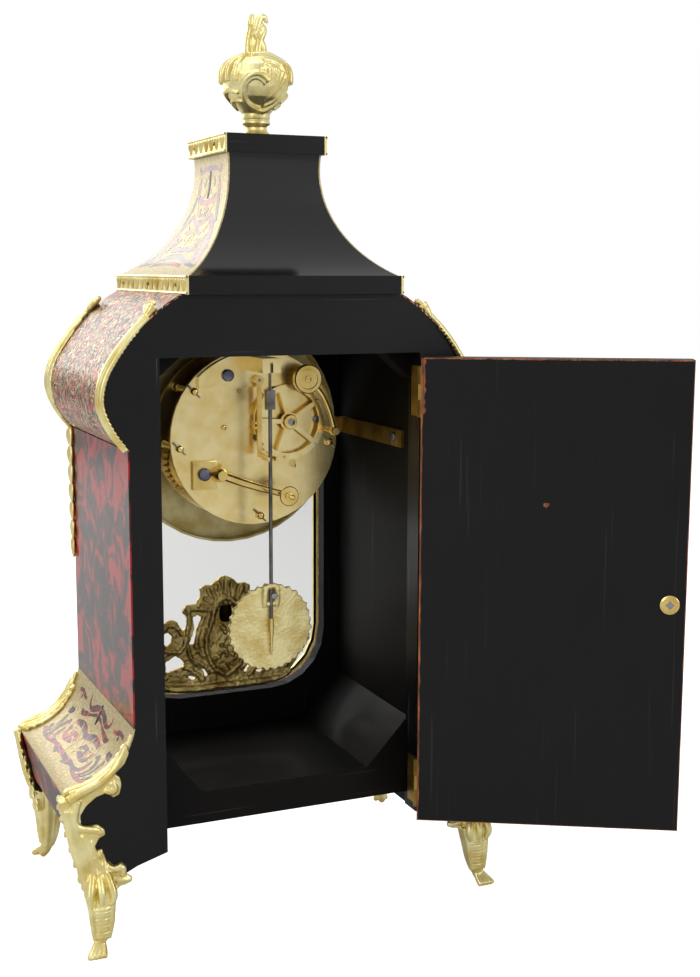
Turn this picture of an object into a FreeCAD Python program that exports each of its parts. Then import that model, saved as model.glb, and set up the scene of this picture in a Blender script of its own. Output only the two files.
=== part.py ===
# Bracket clock with a waisted case, a pagoda roof, gilt mounts and a round plate movement.
# Millimetres. +Z is up, the dial faces -Y, the back door is on +Y and stands open at rest.
# Left and right are those of someone who faces the dial, so right is +X.
# The origin is the middle of the plane that the four feet stand on.
import FreeCAD, Part
import math
import os
import Sketcher
from FreeCAD import Placement, Rotation, Vector

doc = FreeCAD.newDocument("bracket_clock")
sheet = doc.addObject("Spreadsheet::Sheet", "sizes")

SIZES = {
    # case
    "case_half_width": 84.2, "case_half_depth": 59.5, "opening_half_width": 68.8,
    "opening_top": 292.0, "post_bottom": 45.8, "post_bottom_outer": 41.2, "post_depth": 13.0,
    "wall_inner": 70.0,
    "panel_thickness": 8.0, "waist_low": 111.7, "waist_high": 249.1,
    "floor_top": 69.4, "floor_thickness": 16.8, "floor_half_width": 46.0,
    "fillet_top": 95.0, "veneer": 0.8,
    "cornice_low": 321.9, "cornice_height": 8.9, "cornice_half_width": 56.6,
    "cornice_half_depth": 65.0, "band": 1.2,
    "roof_top": 390.8, "cap_height": 9.2, "cap_half_width": 27.1,
    "cap_rear": 35.5, "cap_front": -23.6,
    # dial and front door
    "axis_height": 245.0, "dial_radius": 64.3, "dial_front": -50.0, "dial_depth": 8.4,
    "sheet_metal": 1.2, "window_half_width": 61.0, "window_bottom": 89.0, "window_corner": 33.0,
    "panel_hole_radius": 65.5, "bezel_radius": 74.3, "door_front": -66.5, "door_rear": -59.8,
    "glass_front": -63.0, "glass_thickness": 2.0,
    # movement
    "plate_radius": 47.0, "plate_thickness": 2.2, "plate_rear": 1.3, "plate_gap": 28.0,
    "pillar_circle": 42.5, "pillar_radius": 2.6, "cock_thickness": 2.6,
    "barrel_offset": 21.0, "barrel_drop": 15.0, "barrel_radius": 17.8, "barrel_length": 14.0,
    "pivot_clearance": 0.05, "count_radius": 20.2,
    # pendulum
    "swing_height": 276.0, "rod_radius": 1.0, "rod_plane": 24.2, "bob_height": 145.8,
    "bob_radius": 23.4, "bob_thickness": 3.0,
    # back door
    "door_thickness": 12.0, "back_door_width": 134.8, "back_door_bottom": 47.4,
    "back_door_height": 243.0, "door_gap": 0.5, "knuckle_radius": 2.4, "hinge_pin": 1.2,
    "door_open_angle": 150.5,
}
for row, (alias, value) in enumerate(SIZES.items(), start=1):
    sheet.set("A%d" % row, alias)
    sheet.set("B%d" % row, str(value))
    sheet.setAlias("B%d" % row, alias)
doc.recompute()


def size(alias):
    """The value of one named size on the sheet."""
    return float(sheet.get(alias))


UP, BACK, ACROSS = Vector(0, 0, 1), Vector(0, 1, 0), Vector(1, 0, 0)
ORIGIN = Vector(0, 0, 0)
HALF_W, HALF_D = size("case_half_width"), size("case_half_depth")
AXIS_Z = size("axis_height")
nodes = {}


# ---------------------------------------------------------------- drawing helpers
def keep(thing, label):
    """Register a finished sub-part under its node name."""
    thing.Label = label
    nodes[label] = thing
    return thing


def edges(start, *steps):
    """Lines and arcs from a start point: a step is a point, or (middle point, end point) for an arc."""
    here, out = Vector(*start, 0), []
    for step in steps:
        if isinstance(step[0], tuple):
            middle, end = Vector(*step[0], 0), Vector(*step[1], 0)
            out.append(Part.Arc(here, middle, end))
        else:
            end = Vector(*step, 0)
            out.append(Part.LineSegment(here, end))
        here = end
    return out


def mirrored(right_half):
    """A closed outline from its right half, drawn from the top of the centre line to the bottom."""
    flip = FreeCAD.Matrix()
    flip.A11 = -1
    left_half = []
    for edge in right_half:
        copy = edge.copy()
        copy.transform(flip)
        left_half.append(copy)
    return list(right_half) + left_half


def circle(radius, x=0.0, z=0.0):
    return [Part.Circle(Vector(x, z, 0), Vector(0, 0, 1), radius)]


def faceted(loop, step=11.25):
    """The same loop with each arc as chords that turn by no more than step degrees."""
    out = []
    for piece in loop:
        if isinstance(piece, Part.LineSegment):
            out.append(piece)
            continue
        first, last = piece.FirstParameter, piece.LastParameter
        count = max(2, math.ceil(math.degrees(last - first) / step - 0.01))
        spots = [piece.value(first + (last - first) * k / count) for k in range(count + 1)]
        out += [Part.LineSegment(a, b) for a, b in zip(spots, spots[1:])]
    return out


def new_body(label, role, loops):
    """A body with one sketch of the given loops on the origin plane of the given role."""
    body = doc.addObject("PartDesign::Body", label)
    sketch = body.newObject("Sketcher::SketchObject", label + "_sketch")
    plane = [item for item in body.Origin.OriginFeatures if item.Role == role][0]
    sketch.AttachmentSupport = (plane, [""])
    sketch.MapMode = "FlatFace"
    for loop in loops:
        for geometry in loop:
            sketch.addGeometry(geometry, False)
    return body, sketch


def upright_plate(label, loops, front_y, thickness):
    """A plate parallel to the dial: loops drawn in X and Z, from front_y back by a named thickness."""
    body, sketch = new_body(label, "XZ_Plane", loops)
    pad = body.newObject("PartDesign::Pad", label + "_pad")
    pad.Profile = sketch
    pad.setExpression("Length", "sizes." + thickness)
    pad.Reversed = True
    body.Placement = Placement(Vector(0, front_y, 0), Rotation())
    return keep(body, label)


def board(label, low, high):
    """A plain board between two corners."""
    box = doc.addObject("Part::Box", label)
    box.Length, box.Width, box.Height = [b - a for a, b in zip(low, high)]
    box.Placement = Placement(Vector(*low), Rotation())
    return keep(box, label)


def mirror_of(label, source):
    """The other side's twin of a sub-part."""
    twin = doc.addObject("Part::Mirroring", label)
    twin.Source = source
    twin.Normal = ACROSS
    return keep(twin, label)


def shaped(label, solids):
    """A sub-part of one or more solids made with Part's own functions."""
    thing = doc.addObject("Part::Feature", label)
    thing.Shape = solids[0] if len(solids) == 1 else Part.makeCompound(solids)
    return keep(thing, label)


def box(x0, x1, y0, y1, z0, z1):
    return Part.makeBox(x1 - x0, y1 - y0, z1 - z0, Vector(x0, y0, z0))


def rod(x, z, y0, y1, radius, sides=0):
    """A round bar along Y, or a bar with the given number of flat sides and the same reach."""
    if sides:
        return slab(faceted(circle(radius, x, z), 360.0 / sides), y0, y1)
    return Part.makeCylinder(radius, y1 - y0, Vector(x, y0, z), BACK)


def tapered(rings):
    """A flat-faced solid through level rings: (height, x, y, radius, sides, share of a lobe)."""
    loops = []
    for height, x, y, radius, sides, lobe in rings:
        spots = []
        for number in range(sides):
            angle = 2 * math.pi * number / sides
            reach = radius * (1 - lobe if number % 2 else 1.0)
            spots.append(Vector(x + reach * math.cos(angle), y + reach * math.sin(angle), height))
        loops.append(spots)
    faces = [loops[0], loops[-1]]
    for low, high in zip(loops, loops[1:]):
        for k in range(len(low)):
            n = (k + 1) % len(low)
            faces.append([low[k], low[n], high[n], high[k]])
    faces = [Part.Face(Part.makePolygon(spots + spots[:1])) for spots in faces]
    return Part.Solid(Part.Shell(faces))


def slab(loop, y0, y1, *holes):
    """A flat shape drawn in X and Z, between two depths."""
    def wire(parts):
        flat = Part.Wire([part.toShape() for part in parts])
        flat.rotate(ORIGIN, ACROSS, 90)
        flat.translate(Vector(0, y0, 0))
        return flat
    solid = Part.Face(wire(loop)).extrude(Vector(0, y1 - y0, 0))
    for hole in holes:
        solid = solid.cut(Part.Face(wire(hole)).extrude(Vector(0, y1 - y0, 0)))
    return solid


def polygon(points):
    return edges(points[0], *points[1:], points[0])


def flipped_x(shape):
    return shape.mirror(ORIGIN, ACROSS)


def flipped_y(shape):
    return shape.mirror(ORIGIN, BACK)


def fused(solids):
    whole = solids[0].multiFuse(solids[1:]) if len(solids) > 1 else solids[0]
    return whole.removeSplitter()


# ---------------------------------------------------------------- case outline
SHOULDER_TOP = (size("cornice_half_width"), size("cornice_low"))
SHOULDER_MID, SHOULDER_TURN = (76.3, 307.2), (90.0, 290.0)
SHOULDER_WIDEST = (96.3, 270.0)
WAIST_HIGH, WAIST_LOW = (HALF_W, size("waist_high")), (HALF_W, size("waist_low"))
FLARE_MID, FLARE_TIP = (95.6, 90.6), (119.0, 80.6)
SKIRT_FOOT, SKIRT_LOW = (113.0, 55.0), (90.4, 38.3)


def offset_point(point, out):
    """A point of the side outline moved outwards along the outline's own normal."""
    normals = {SHOULDER_TOP: (0.62, 0.78), SHOULDER_MID: (0.68, 0.73), SHOULDER_TURN: (0.88, 0.47),
               SHOULDER_WIDEST: (0.995, -0.1), WAIST_HIGH: (0.75, -0.66), WAIST_LOW: (1.0, 0.0),
               FLARE_MID: (0.66, 0.75), FLARE_TIP: (0.35, 0.94), SKIRT_FOOT: (0.97, -0.23)}
    nx, nz = normals[point]
    return (point[0] + out * nx, point[1] + out * nz)


def strip(path, inner, outer, y0, y1, step=0.0):
    """A band that follows a stretch of the side outline, between two offsets from it."""
    near = [offset_point(p, inner) for p in path]
    far = [offset_point(p, outer) for p in path]
    if len(path) == 5:
        out_steps = [(far[1], far[2]), (far[3], far[4])]
        back_steps = [(near[3], near[2]), (near[1], near[0])]
    elif len(path) == 3:
        out_steps, back_steps = [(far[1], far[2])], [(near[1], near[0])]
    else:
        out_steps, back_steps = [far[1]], [near[0]]
    loop = edges(near[0], far[0], *out_steps, near[-1], *back_steps)
    return slab(faceted(loop, step) if step else loop, y0, y1)


SHOULDER_PATH = [SHOULDER_TOP, SHOULDER_MID, SHOULDER_TURN, SHOULDER_WIDEST, WAIST_HIGH]
FLARE_PATH = [WAIST_LOW, FLARE_MID, FLARE_TIP]


# ---------------------------------------------------------------- case woodwork
def build_case():
    post_front = HALF_D - size("post_depth")
    panel_rear = -HALF_D + size("veneer") + size("panel_thickness")
    wall, opening = size("wall_inner"), size("opening_half_width")
    post_low, top = size("post_bottom"), size("opening_top")
    side = board("side_board_right", (wall, panel_rear, post_low), (HALF_W, post_front, top))
    mirror_of("side_board_left", side)

    # The back of the case is a frame: two posts and a rail. The posts are let in for the hinges
    # and, on the latch side, have a mortise for the latch's tongue.
    post = slab(polygon([(opening, post_low), (HALF_W, size("post_bottom_outer")), (HALF_W, top),
                         (opening, top)]), post_front, HALF_D)
    hinge_cuts = [box(opening - 1, opening + LEAF, post_front + 2, HALF_D + 1, low, low + HINGE_TALL)
                  for low in HINGE_LOWS]
    shaped("rear_post_left", [flipped_x(post.cut(Part.makeCompound(hinge_cuts)))])
    mortise = box(opening - 1, opening + 6.2, TONGUE_Y[0] - 0.4, TONGUE_Y[1] + 0.4,
                  LATCH_Z - 4.6, LATCH_Z + 4.6)
    shaped("rear_post_right", [post.cut(mortise)])
    cornice_low = size("cornice_low")
    rail = mirrored(edges((0, cornice_low), (52.0, cornice_low), (52.0, 314.0),
                          (opening, 300.0), (opening, top), (0, top)))
    upright_plate("top_rail", [rail], post_front, "post_depth")

    shoulder = slab(edges(SHOULDER_TOP, (SHOULDER_MID, SHOULDER_TURN), (SHOULDER_WIDEST, WAIST_HIGH),
                          (HALF_W, top), (opening, top), (opening, 300.0), (52.0, 314.0),
                          (52.0, cornice_low), SHOULDER_TOP), panel_rear, HALF_D)
    shaped("shoulder_block_right", [shoulder])
    shaped("shoulder_block_left", [flipped_x(shoulder)])
    skirt = slab(edges(WAIST_LOW, (FLARE_MID, FLARE_TIP), SKIRT_FOOT, (106.0, 41.0), SKIRT_LOW,
                       (HALF_W, size("post_bottom_outer")), WAIST_LOW), panel_rear, HALF_D)
    shaped("skirt_block_right", [skirt])
    shaped("skirt_block_left", [flipped_x(skirt)])

    floor_top, floor_low = size("floor_top"), size("floor_top") - size("floor_thickness")
    board("floor_board", (-wall, panel_rear, floor_low), (wall, post_front, floor_top))
    fillet = slab(polygon([(size("floor_half_width"), floor_top), (wall, floor_top),
                           (wall, size("fillet_top"))]), panel_rear, post_front)
    glue = Part.Face(Part.makePolygon([Vector(*p) for p in GLUE_TRIANGLE])).extrude(Vector(0, -14, 0))
    shaped("glue_blocks", [fillet, flipped_x(fillet), glue, flipped_x(glue)])


GLUE_TRIANGLE = [(70.0, 46.5, 292.0), (54.0, 46.5, 292.0), (70.0, 46.5, 278.0), (70.0, 46.5, 292.0)]


def keyhole(grow, ring):
    """The dial opening and the window below it as one outline, grown by a margin."""
    half, low = size("window_half_width") + grow, size("window_bottom") - grow
    corner = size("window_corner") + grow
    meet = AXIS_Z - math.sqrt(ring ** 2 - half ** 2) if ring > half else AXIS_Z
    bend = corner * (1 - math.sqrt(0.5))
    right = edges((0, AXIS_Z + ring), ((ring, AXIS_Z), (half, meet)), (half, low + corner),
                  ((half - bend, low + bend), (half - corner, low)), (0, low))
    return mirrored(right)


def build_front():
    """The front panel with its keyhole opening, and its veneer."""
    veneer, thickness = size("veneer"), "panel_thickness"
    bottom = [(106.0, 41.0), SKIRT_LOW, ((62.0, 42.6), (40.0, 49.4)), ((20.0, 52.3), (0, 52.6))]
    outline = mirrored(edges((0, SHOULDER_TOP[1]), SHOULDER_TOP, (SHOULDER_MID, SHOULDER_TURN),
                             (SHOULDER_WIDEST, WAIST_HIGH), WAIST_LOW, (FLARE_MID, FLARE_TIP),
                             SKIRT_FOOT, *bottom))
    hole = faceted(keyhole(0.0, size("panel_hole_radius")), 18.0)
    upright_plate("front_panel", [outline, hole], -HALF_D + veneer, thickness)
    upright_plate("front_veneer", [outline, faceted(keyhole(0.0, size("panel_hole_radius")), 18.0)],
                  -HALF_D, "veneer")


def build_veneers():
    veneer = size("veneer")
    front, rear = -HALF_D, HALF_D
    shoulder = strip(SHOULDER_PATH, 0.0, veneer, front, rear)
    side = box(HALF_W, HALF_W + veneer, front, rear, size("waist_low") + 0.3, size("waist_high") - 1.0)
    flare = strip(FLARE_PATH, 0.0, veneer, front, rear)
    lower = strip([FLARE_TIP, SKIRT_FOOT], 0.0, veneer, front, rear)
    lower = lower.cut(flare)
    for label, sheet_part in (("shoulder_veneers", [shoulder]), ("side_veneers", [side]),
                              ("skirt_veneers", [flare, lower])):
        shaped(label, sheet_part + [flipped_x(part) for part in sheet_part])


# ---------------------------------------------------------------- roof, cornice and their bands
ROOF_FOOT_X, ROOF_FOOT_Y = 54.8, 62.6
ROOF_BOW = 0.30


def cove(foot, head, low, high):
    """The middle point of a concave roof side between its foot and its head."""
    middle_x, middle_z = (foot + head) / 2, (low + high) / 2
    run_x, run_z = head - foot, high - low
    return (middle_x + ROOF_BOW * -abs(run_z) * (1 if foot > 0 else -1) * 0.5,
            middle_z - ROOF_BOW * abs(run_x) * 0.5)


def build_roof():
    low, height = size("cornice_low"), size("cornice_height")
    foot, head = low + height, size("roof_top")
    half_w, half_d, band = size("cornice_half_width"), size("cornice_half_depth"), size("band")
    board("cornice_board", (-half_w + band, -half_d + band, low), (half_w - band, half_d, foot))
    outer = box(-half_w, half_w, -half_d, half_d, low, foot)
    inner = box(-half_w + band, half_w - band, -half_d + band, half_d + 1, low - 1, foot + 1)
    shaped("cornice_band", [outer.cut(inner)])

    cap_w, cap_rear, cap_front = size("cap_half_width"), size("cap_rear"), size("cap_front")
    cap_top = head + size("cap_height")
    outer = box(-cap_w, cap_w, cap_front, cap_rear, head, cap_top)
    inner = box(-cap_w + band, cap_w - band, cap_front + band, cap_rear + 1, head - 1, cap_top + 1)
    shaped("roof_band", [outer.cut(inner)])
    board("roof_cap", (-cap_w + band, cap_front + band, head), (cap_w - band, cap_rear, cap_top))

    # Each side of the roof is a cove: the front outline and the side outline, both drawn as
    # concave arcs, are pushed through each other and what they share is kept.
    head_w, head_rear, head_front = cap_w - 2.2, cap_rear - 2.2, cap_front + 2.2
    def across(extra):
        x0, x1 = ROOF_FOOT_X - extra, head_w - extra
        return edges((-x0, foot), (x0, foot), (cove(x0, x1, foot, head), (x1, head)), (-x1, head),
                     ((-cove(x0, x1, foot, head)[0], cove(x0, x1, foot, head)[1]), (-x0, foot)))
    def along(extra):
        y0, rear, front = ROOF_FOOT_Y, head_rear, head_front + extra
        near = ROOF_FOOT_Y - extra
        front_cove = cove(near, -front, foot, head)
        return edges((-near, foot), (y0, foot), (cove(y0, rear, foot, head), (rear, head)),
                     (front, head), ((-front_cove[0], front_cove[1]), (-near, foot)))
    def pagoda(extra):
        wide = slab(across(extra), -80, 80)
        deep = slab(along(extra), -80, 80)
        deep.rotate(ORIGIN, UP, 90)
        return wide.common(deep)
    core = pagoda(size("veneer"))
    shaped("pagoda_roof", [core])
    skin = pagoda(0.0).cut(core)
    shaped("roof_veneers", skin.Solids)


FINIAL = [(0.0, 8.5), (1.8, 8.5), (3.6, 5.0), (9.0, 3.2), (10.8, 7.6), (13.4, 8.0), (16.0, 11.0),
          (21.0, 15.0), (27.5, 17.8), (33.0, 18.4), (37.5, 15.6), (41.0, 9.6), (43.6, 5.0), (48.0, 3.2),
          (53.0, 4.4), (57.4, 3.4), (62.4, 1.0)]


def build_finial():
    middle_y = (size("cap_rear") + size("cap_front")) / 2
    base = size("roof_top") + size("cap_height")
    rings = [(base + z, 0.0, middle_y, radius, 12, 0.1) for z, radius in FINIAL]
    shaped("finial", [tapered(rings)])


# ---------------------------------------------------------------- gilt mounts
LEG = [(46.0, 104.0, 52.0, 9.0), (34.0, 103.5, 57.0, 8.6), (24.0, 103.6, 59.6, 6.4),
       (14.0, 104.0, 61.2, 5.0), (6.0, 104.8, 63.2, 3.4), (2.6, 106.4, 65.0, 3.6),
       (0.0, 108.2, 66.4, 4.6)]
LEAF_OUTLINE = [(85.6, 113.0), (88.4, 101.0), (95.0, 91.0), (105.0, 84.6), (103.0, 76.0),
                (98.6, 62.0), (103.4, 50.5), (96.0, 45.6), (90.0, 37.0), (98.0, 31.5),
                (109.0, 32.0), (114.6, 44.0), (121.0, 66.0), (121.4, 82.6), (108.0, 85.6),
                (97.4, 95.0), (89.0, 108.0)]


def build_feet():
    leg = tapered([(z, x, y, radius, 10, 0.0) for z, x, y, radius in reversed(LEG)])
    case_corner = box(60, HALF_W + 60, 0, HALF_D, 36.0, 130)
    leg = leg.cut(case_corner)
    leaf = slab(polygon(LEAF_OUTLINE), HALF_D, HALF_D + 2.4)
    cheek = strip([FLARE_TIP, SKIRT_FOOT], size("veneer"), 2.6, 46.0, HALF_D + 2.4)
    wing = strip(FLARE_PATH, size("veneer"), 2.6, 54.0, HALF_D + 2.4, 18.0)
    toe_block = box(103.5, 113.8, 50.0, HALF_D, 30.0, 54.6).cut(SKIRT_SOLID)
    foot = fused([leg, leaf, cheek, wing, toe_block]).cut(SKIRT_SOLID)
    foot = max(foot.Solids, key=lambda solid: solid.Volume)
    shaped("foot_rear_right", [foot])
    shaped("foot_rear_left", [flipped_x(foot)])
    shaped("foot_front_right", [flipped_y(foot)])
    shaped("foot_front_left", [flipped_x(flipped_y(foot))])


SKIRT_SOLID = slab(edges(WAIST_LOW, (offset_point(FLARE_MID, 0.8), offset_point(FLARE_TIP, 0.8)),
                         offset_point(SKIRT_FOOT, 0.8), (106.0, 40.2), (88.3, 35.9), (60.0, 38.5),
                         (60.0, 120.0), (HALF_W, 120.0), WAIST_LOW), -HALF_D, HALF_D)


SHOULDER_SOLID = slab(edges(SHOULDER_TOP, offset_point(SHOULDER_TOP, 0.8),
                            (offset_point(SHOULDER_MID, 0.8), offset_point(SHOULDER_TURN, 0.8)),
                            (offset_point(SHOULDER_WIDEST, 0.8), offset_point(WAIST_HIGH, 0.8)),
                            WAIST_HIGH, (40.0, 249.1), (40.0, 321.9), SHOULDER_TOP), -HALF_D, HALF_D)


def build_corner_mounts():
    veneer = size("veneer")
    wrap = strip(SHOULDER_PATH, veneer + 0.2, 3.4, 52.0, HALF_D + 2.4, 28.0)
    face = strip(SHOULDER_PATH, -5.0, 3.4, HALF_D, HALF_D + 2.4, 28.0)
    above = box(50, 78.0, 0, 90, 300, 330)
    ball = rod(80.4, 310.0, HALF_D - 2.6, HALF_D + 4.0, 3.7, 12)
    mount = fused([wrap.cut(above), face.cut(above), ball]).cut(SHOULDER_SOLID)
    mount = max(mount.Solids, key=lambda solid: solid.Volume)
    front = flipped_y(mount)
    shaped("shoulder_mounts", [mount, flipped_x(mount), front, flipped_x(front)])

    chute = polygon([(79.6, 246.0), (83.0, 248.6), (88.0, 246.0), (88.2, 224.0), (86.4, 196.0),
                     (87.6, 182.0), (85.0, 172.6), (82.6, 180.0), (81.0, 196.0), (82.4, 210.0),
                     (79.4, 226.0)])
    leaf = slab(chute, -HALF_D - 1.8, -HALF_D)
    wrap = box(HALF_W + veneer, HALF_W + veneer + 1.8, -HALF_D - 1.8, -HALF_D + 5.0, 181.0, 246.0)
    chute_solid = fused([leaf, wrap])
    shaped("corner_chutes", [chute_solid, flipped_x(chute_solid)])


def build_window_mount():
    """The cartouche with its bar that stands inside the window, on the panel's inner face."""
    rear = -HALF_D + size("veneer") + size("panel_thickness")
    bar = slab(faceted(edges((-38.0, 84.0), (38.0, 84.0), (41.0, 101.0), ((0, 91.4), (-41.0, 101.0)),
                             (-38.0, 84.0))), rear, rear + 2.4)
    outline = edges((-9.0, 92.0), ((-15.5, 108.0), (-12.0, 126.0)), ((-20.0, 140.0), (-9.0, 151.0)),
                    ((-3.0, 156.0), (2.6, 159.5)), ((9.0, 156.0), (15.9, 151.0)),
                    ((25.0, 140.0), (16.0, 126.0)), ((20.0, 108.0), (11.0, 92.0)), (-9.0, 92.0))
    shell = slab(faceted(outline, 24.0), rear, rear + 4.6)
    niche = slab(faceted(edges((-5.5, 104.0), ((1.6, 100.6), (8.6, 104.0)), (8.6, 132.0),
                               ((1.6, 141.0), (-5.5, 132.0)), (-5.5, 104.0)), 24.0), rear + 2.2, rear + 6.0)
    ring = faceted(circle(8.4, 32.0, 122.0), 24.0)
    scroll = slab(ring, rear, rear + 3.4, faceted(circle(4.2, 32.0, 122.0), 36.0))
    stalk = slab(faceted(edges((24.0, 93.6), (36.0, 99.0), ((40.5, 112.0), (35.0, 118.0)),
                               ((29.5, 108.0), (24.0, 93.6))), 24.0), rear, rear + 3.4)
    left_scroll, left_stalk = flipped_x(scroll), flipped_x(stalk)
    solid = fused([bar, shell.cut(niche), scroll, stalk, left_scroll, left_stalk])
    shaped("window_mount", [solid])


# ---------------------------------------------------------------- hinges, front door and dial
FRONT_AXIS_X, FRONT_AXIS_Y = 75.4, -63.2
FRONT_KNUCKLE = 2.0
FRONT_HINGE_LOWS = (112.0, 186.0)


def upright_bar(x, y, low, high, radius, sides=8):
    return tapered([(low, x, y, radius, sides, 0.0), (high, x, y, radius, sides, 0.0)])


def knuckles(x, y, low, tall, radius, pin, outer):
    """The outer or the middle knuckles of one hinge on a vertical axis, with the pin on the outer."""
    third, gap = tall / 3, 0.2
    if outer:
        return [upright_bar(x, y, low, low + third, radius),
                upright_bar(x, y, low + 2 * third, low + tall, radius),
                upright_bar(x, y, low + third - 1, low + 2 * third + 1, pin)]
    middle = upright_bar(x, y, low + third + gap, low + 2 * third - gap, radius)
    return [middle.cut(upright_bar(x, y, low, low + tall, pin + 0.14))]


def build_front_door():
    front, rear, glass = size("door_front"), size("door_rear"), size("glass_front")
    ring = size("bezel_radius")
    def outline(grow, radius):
        return faceted(keyhole(grow, radius), 18.0)
    face = slab(outline(9.0, ring), front + 1.6, glass, outline(-1.5, 62.6))
    bead = slab(outline(6.0, ring - 3.0), front, front + 1.6, outline(0.6, 64.6))
    back = slab(outline(9.0, ring), glass, rear, outline(0.6, 65.0))
    solids = [face, bead, back]
    pin = 0.9
    for low in FRONT_HINGE_LOWS:
        tall = 15.0
        arm = box(size("window_half_width") + 6.0, FRONT_AXIS_X, FRONT_AXIS_Y - 1.0, FRONT_AXIS_Y + 1.0,
                  low + tall / 3 + 0.2, low + 2 * tall / 3 - 0.2)
        arm = arm.cut(Part.makeCylinder(pin + 0.06, 40, Vector(FRONT_AXIS_X, FRONT_AXIS_Y, low - 5)))
        solids += [arm] + knuckles(FRONT_AXIS_X, FRONT_AXIS_Y, low, tall, FRONT_KNUCKLE, pin, False)
    shaped("front_door_frame", [fused(solids)])
    inside = faceted(keyhole(0.3, 64.7), 18.0)
    shaped("front_door_glass", [slab(inside, glass, glass + size("glass_thickness"))])
    fixed = []
    for low in FRONT_HINGE_LOWS:
        leaf = box(FRONT_AXIS_X, 79.0, -HALF_D - 1.0, -HALF_D, low, low + 15.0)
        web = box(FRONT_AXIS_X, FRONT_AXIS_X + 1.4, FRONT_AXIS_Y, -HALF_D, low, low + 5.0)
        web_top = box(FRONT_AXIS_X, FRONT_AXIS_X + 1.4, FRONT_AXIS_Y, -HALF_D, low + 10.0, low + 15.0)
        leaf = leaf.cut(box(FRONT_AXIS_X - 1, FRONT_AXIS_X + 2.6, -70, -HALF_D + 1, low + 4.9, low + 10.1))
        fixed.append(fused([leaf, web, web_top]
                           + knuckles(FRONT_AXIS_X, FRONT_AXIS_Y, low, 15.0, FRONT_KNUCKLE, pin, True)))
    shaped("front_hinges", fixed)


TABLET = [(-6.6, 59.0), (0, 61.6), (6.6, 59.0), (6.0, 52.0), (4.2, 45.6), (0, 43.6), (-4.2, 45.6),
          (-6.0, 52.0)]


def build_dial():
    front, depth, metal = size("dial_front"), size("dial_depth"), size("sheet_metal")
    radius = size("dial_radius")
    pan = rod(0, AXIS_Z, front, front + depth, radius, 40)
    hollow = rod(0, AXIS_Z, front + metal, front + depth + 1, radius - 1.2, 40)
    pan = pan.cut(hollow)
    front_plate = size("plate_rear") - 2 * size("plate_thickness") - size("plate_gap")
    for angle in (90, 210, 330):
        x, z = 38.0 * math.cos(math.radians(angle)), 38.0 * math.sin(math.radians(angle))
        pan = pan.fuse(rod(x, AXIS_Z + z, front + 0.5, front_plate, 1.8, 8))
    holes = [rod(0, AXIS_Z, front - 1, front + 3, 3.6, 16)]
    for sign in (-1, 1):
        holes.append(rod(sign * size("barrel_offset"), AXIS_Z - size("barrel_drop"),
                         front - 1, front + 3, 3.0, 12))
    shaped("dial_plate", [pan.cut(Part.makeCompound(holes))])
    tablets = []
    for hour in range(12):
        angle = 30.0 * hour
        tablet = slab([Part.LineSegment(Vector(*a, 0), Vector(*b, 0)) for a, b in
                       zip(TABLET, TABLET[1:] + TABLET[:1])], front - 1.1, front)
        tablet.rotate(ORIGIN, BACK, angle)
        tablet.translate(Vector(0, 0, AXIS_Z))
        tablets.append(tablet)
    shaped("dial_tablets", tablets)


# ---------------------------------------------------------------- movement
PLATE_REAR = size("plate_rear")
PLATE_IN = PLATE_REAR - size("plate_thickness")
FRONT_IN = PLATE_IN - size("plate_gap")
FRONT_OUT = FRONT_IN - size("plate_thickness")
GREAT_TEETH, SECOND_PINION, SECOND_TEETH, CENTRE_PINION = 36, 6, 36, 6
GREAT_MODULE, SECOND_MODULE = 20.0 / 18, 15.0 / 18
BARREL = (size("barrel_offset"), -size("barrel_drop"))
GOING_SECOND, STRIKE_SECOND = (15.70, 7.72), (-18.0, 8.14)
HAMMER_PIVOT, ESCAPE = (-40.5, 3.0), (0.0, 16.0)
SWING = (0.0, size("swing_height") - AXIS_Z)
SQUARE_FRONT, SQUARE_REAR = -53.0, -49.0
PILLAR_ANGLES = (37.0, -5.7, -93.0, 143.0, 185.7)


def gear(centre, teeth, module, y0, y1, tooth_angle):
    """A toothed disc: one tooth's middle points along tooth_angle, in degrees from +X towards +Z."""
    pitch = teeth * module / 2
    tip, root = pitch + 0.85 * module, pitch - 1.15 * module
    step = 2 * math.pi / teeth
    points = []
    for number in range(teeth):
        middle = math.radians(tooth_angle) + number * step
        for radius, share in ((root, -0.21), (tip, -0.07), (tip, 0.07), (root, 0.21)):
            angle = middle + share * step
            points.append((centre[0] + radius * math.cos(angle),
                           AXIS_Z + centre[1] + radius * math.sin(angle)))
    return slab(polygon(points), y0, y1)


def heading(start, end):
    """The direction from one arbor to another, in degrees from +X towards +Z."""
    return math.degrees(math.atan2(end[1] - start[1], end[0] - start[0]))


def arbor(centre, y0, y1, radius, sides=0):
    return rod(centre[0], AXIS_Z + centre[1], y0, y1, radius, sides)


def pivoted(centre, y0, y1, radius):
    """An eight-sided arbor from y0 to y1, with a round pivot in the back plate."""
    pieces = [arbor(centre, PLATE_IN, min(y1, PLATE_REAR), radius),
              arbor(centre, y0, PLATE_IN + 0.2, radius, 8)]
    if y1 > PLATE_REAR:
        pieces.append(arbor(centre, PLATE_REAR, y1, radius, 8))
    return fused(pieces)


def pivot_holes():
    """Pivot holes that both plates share, with the running clearance."""
    loose = size("pivot_clearance")
    places = [(GOING_SECOND, 0.9), (STRIKE_SECOND, 1.6), ((0.0, 0.0), 1.4),
              ((BARREL[0], BARREL[1]), 1.8), ((-BARREL[0], BARREL[1]), 1.8), (HAMMER_PIVOT, 1.3),
              (ESCAPE, 0.8), (SWING, 1.0)]
    flat = math.cos(math.radians(22.5))    # the flats of an 8-sided hole clear the pivot
    return [faceted(circle((radius + loose) / flat, x, AXIS_Z + z), 45.0)
            for (x, z), radius in places]


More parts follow.
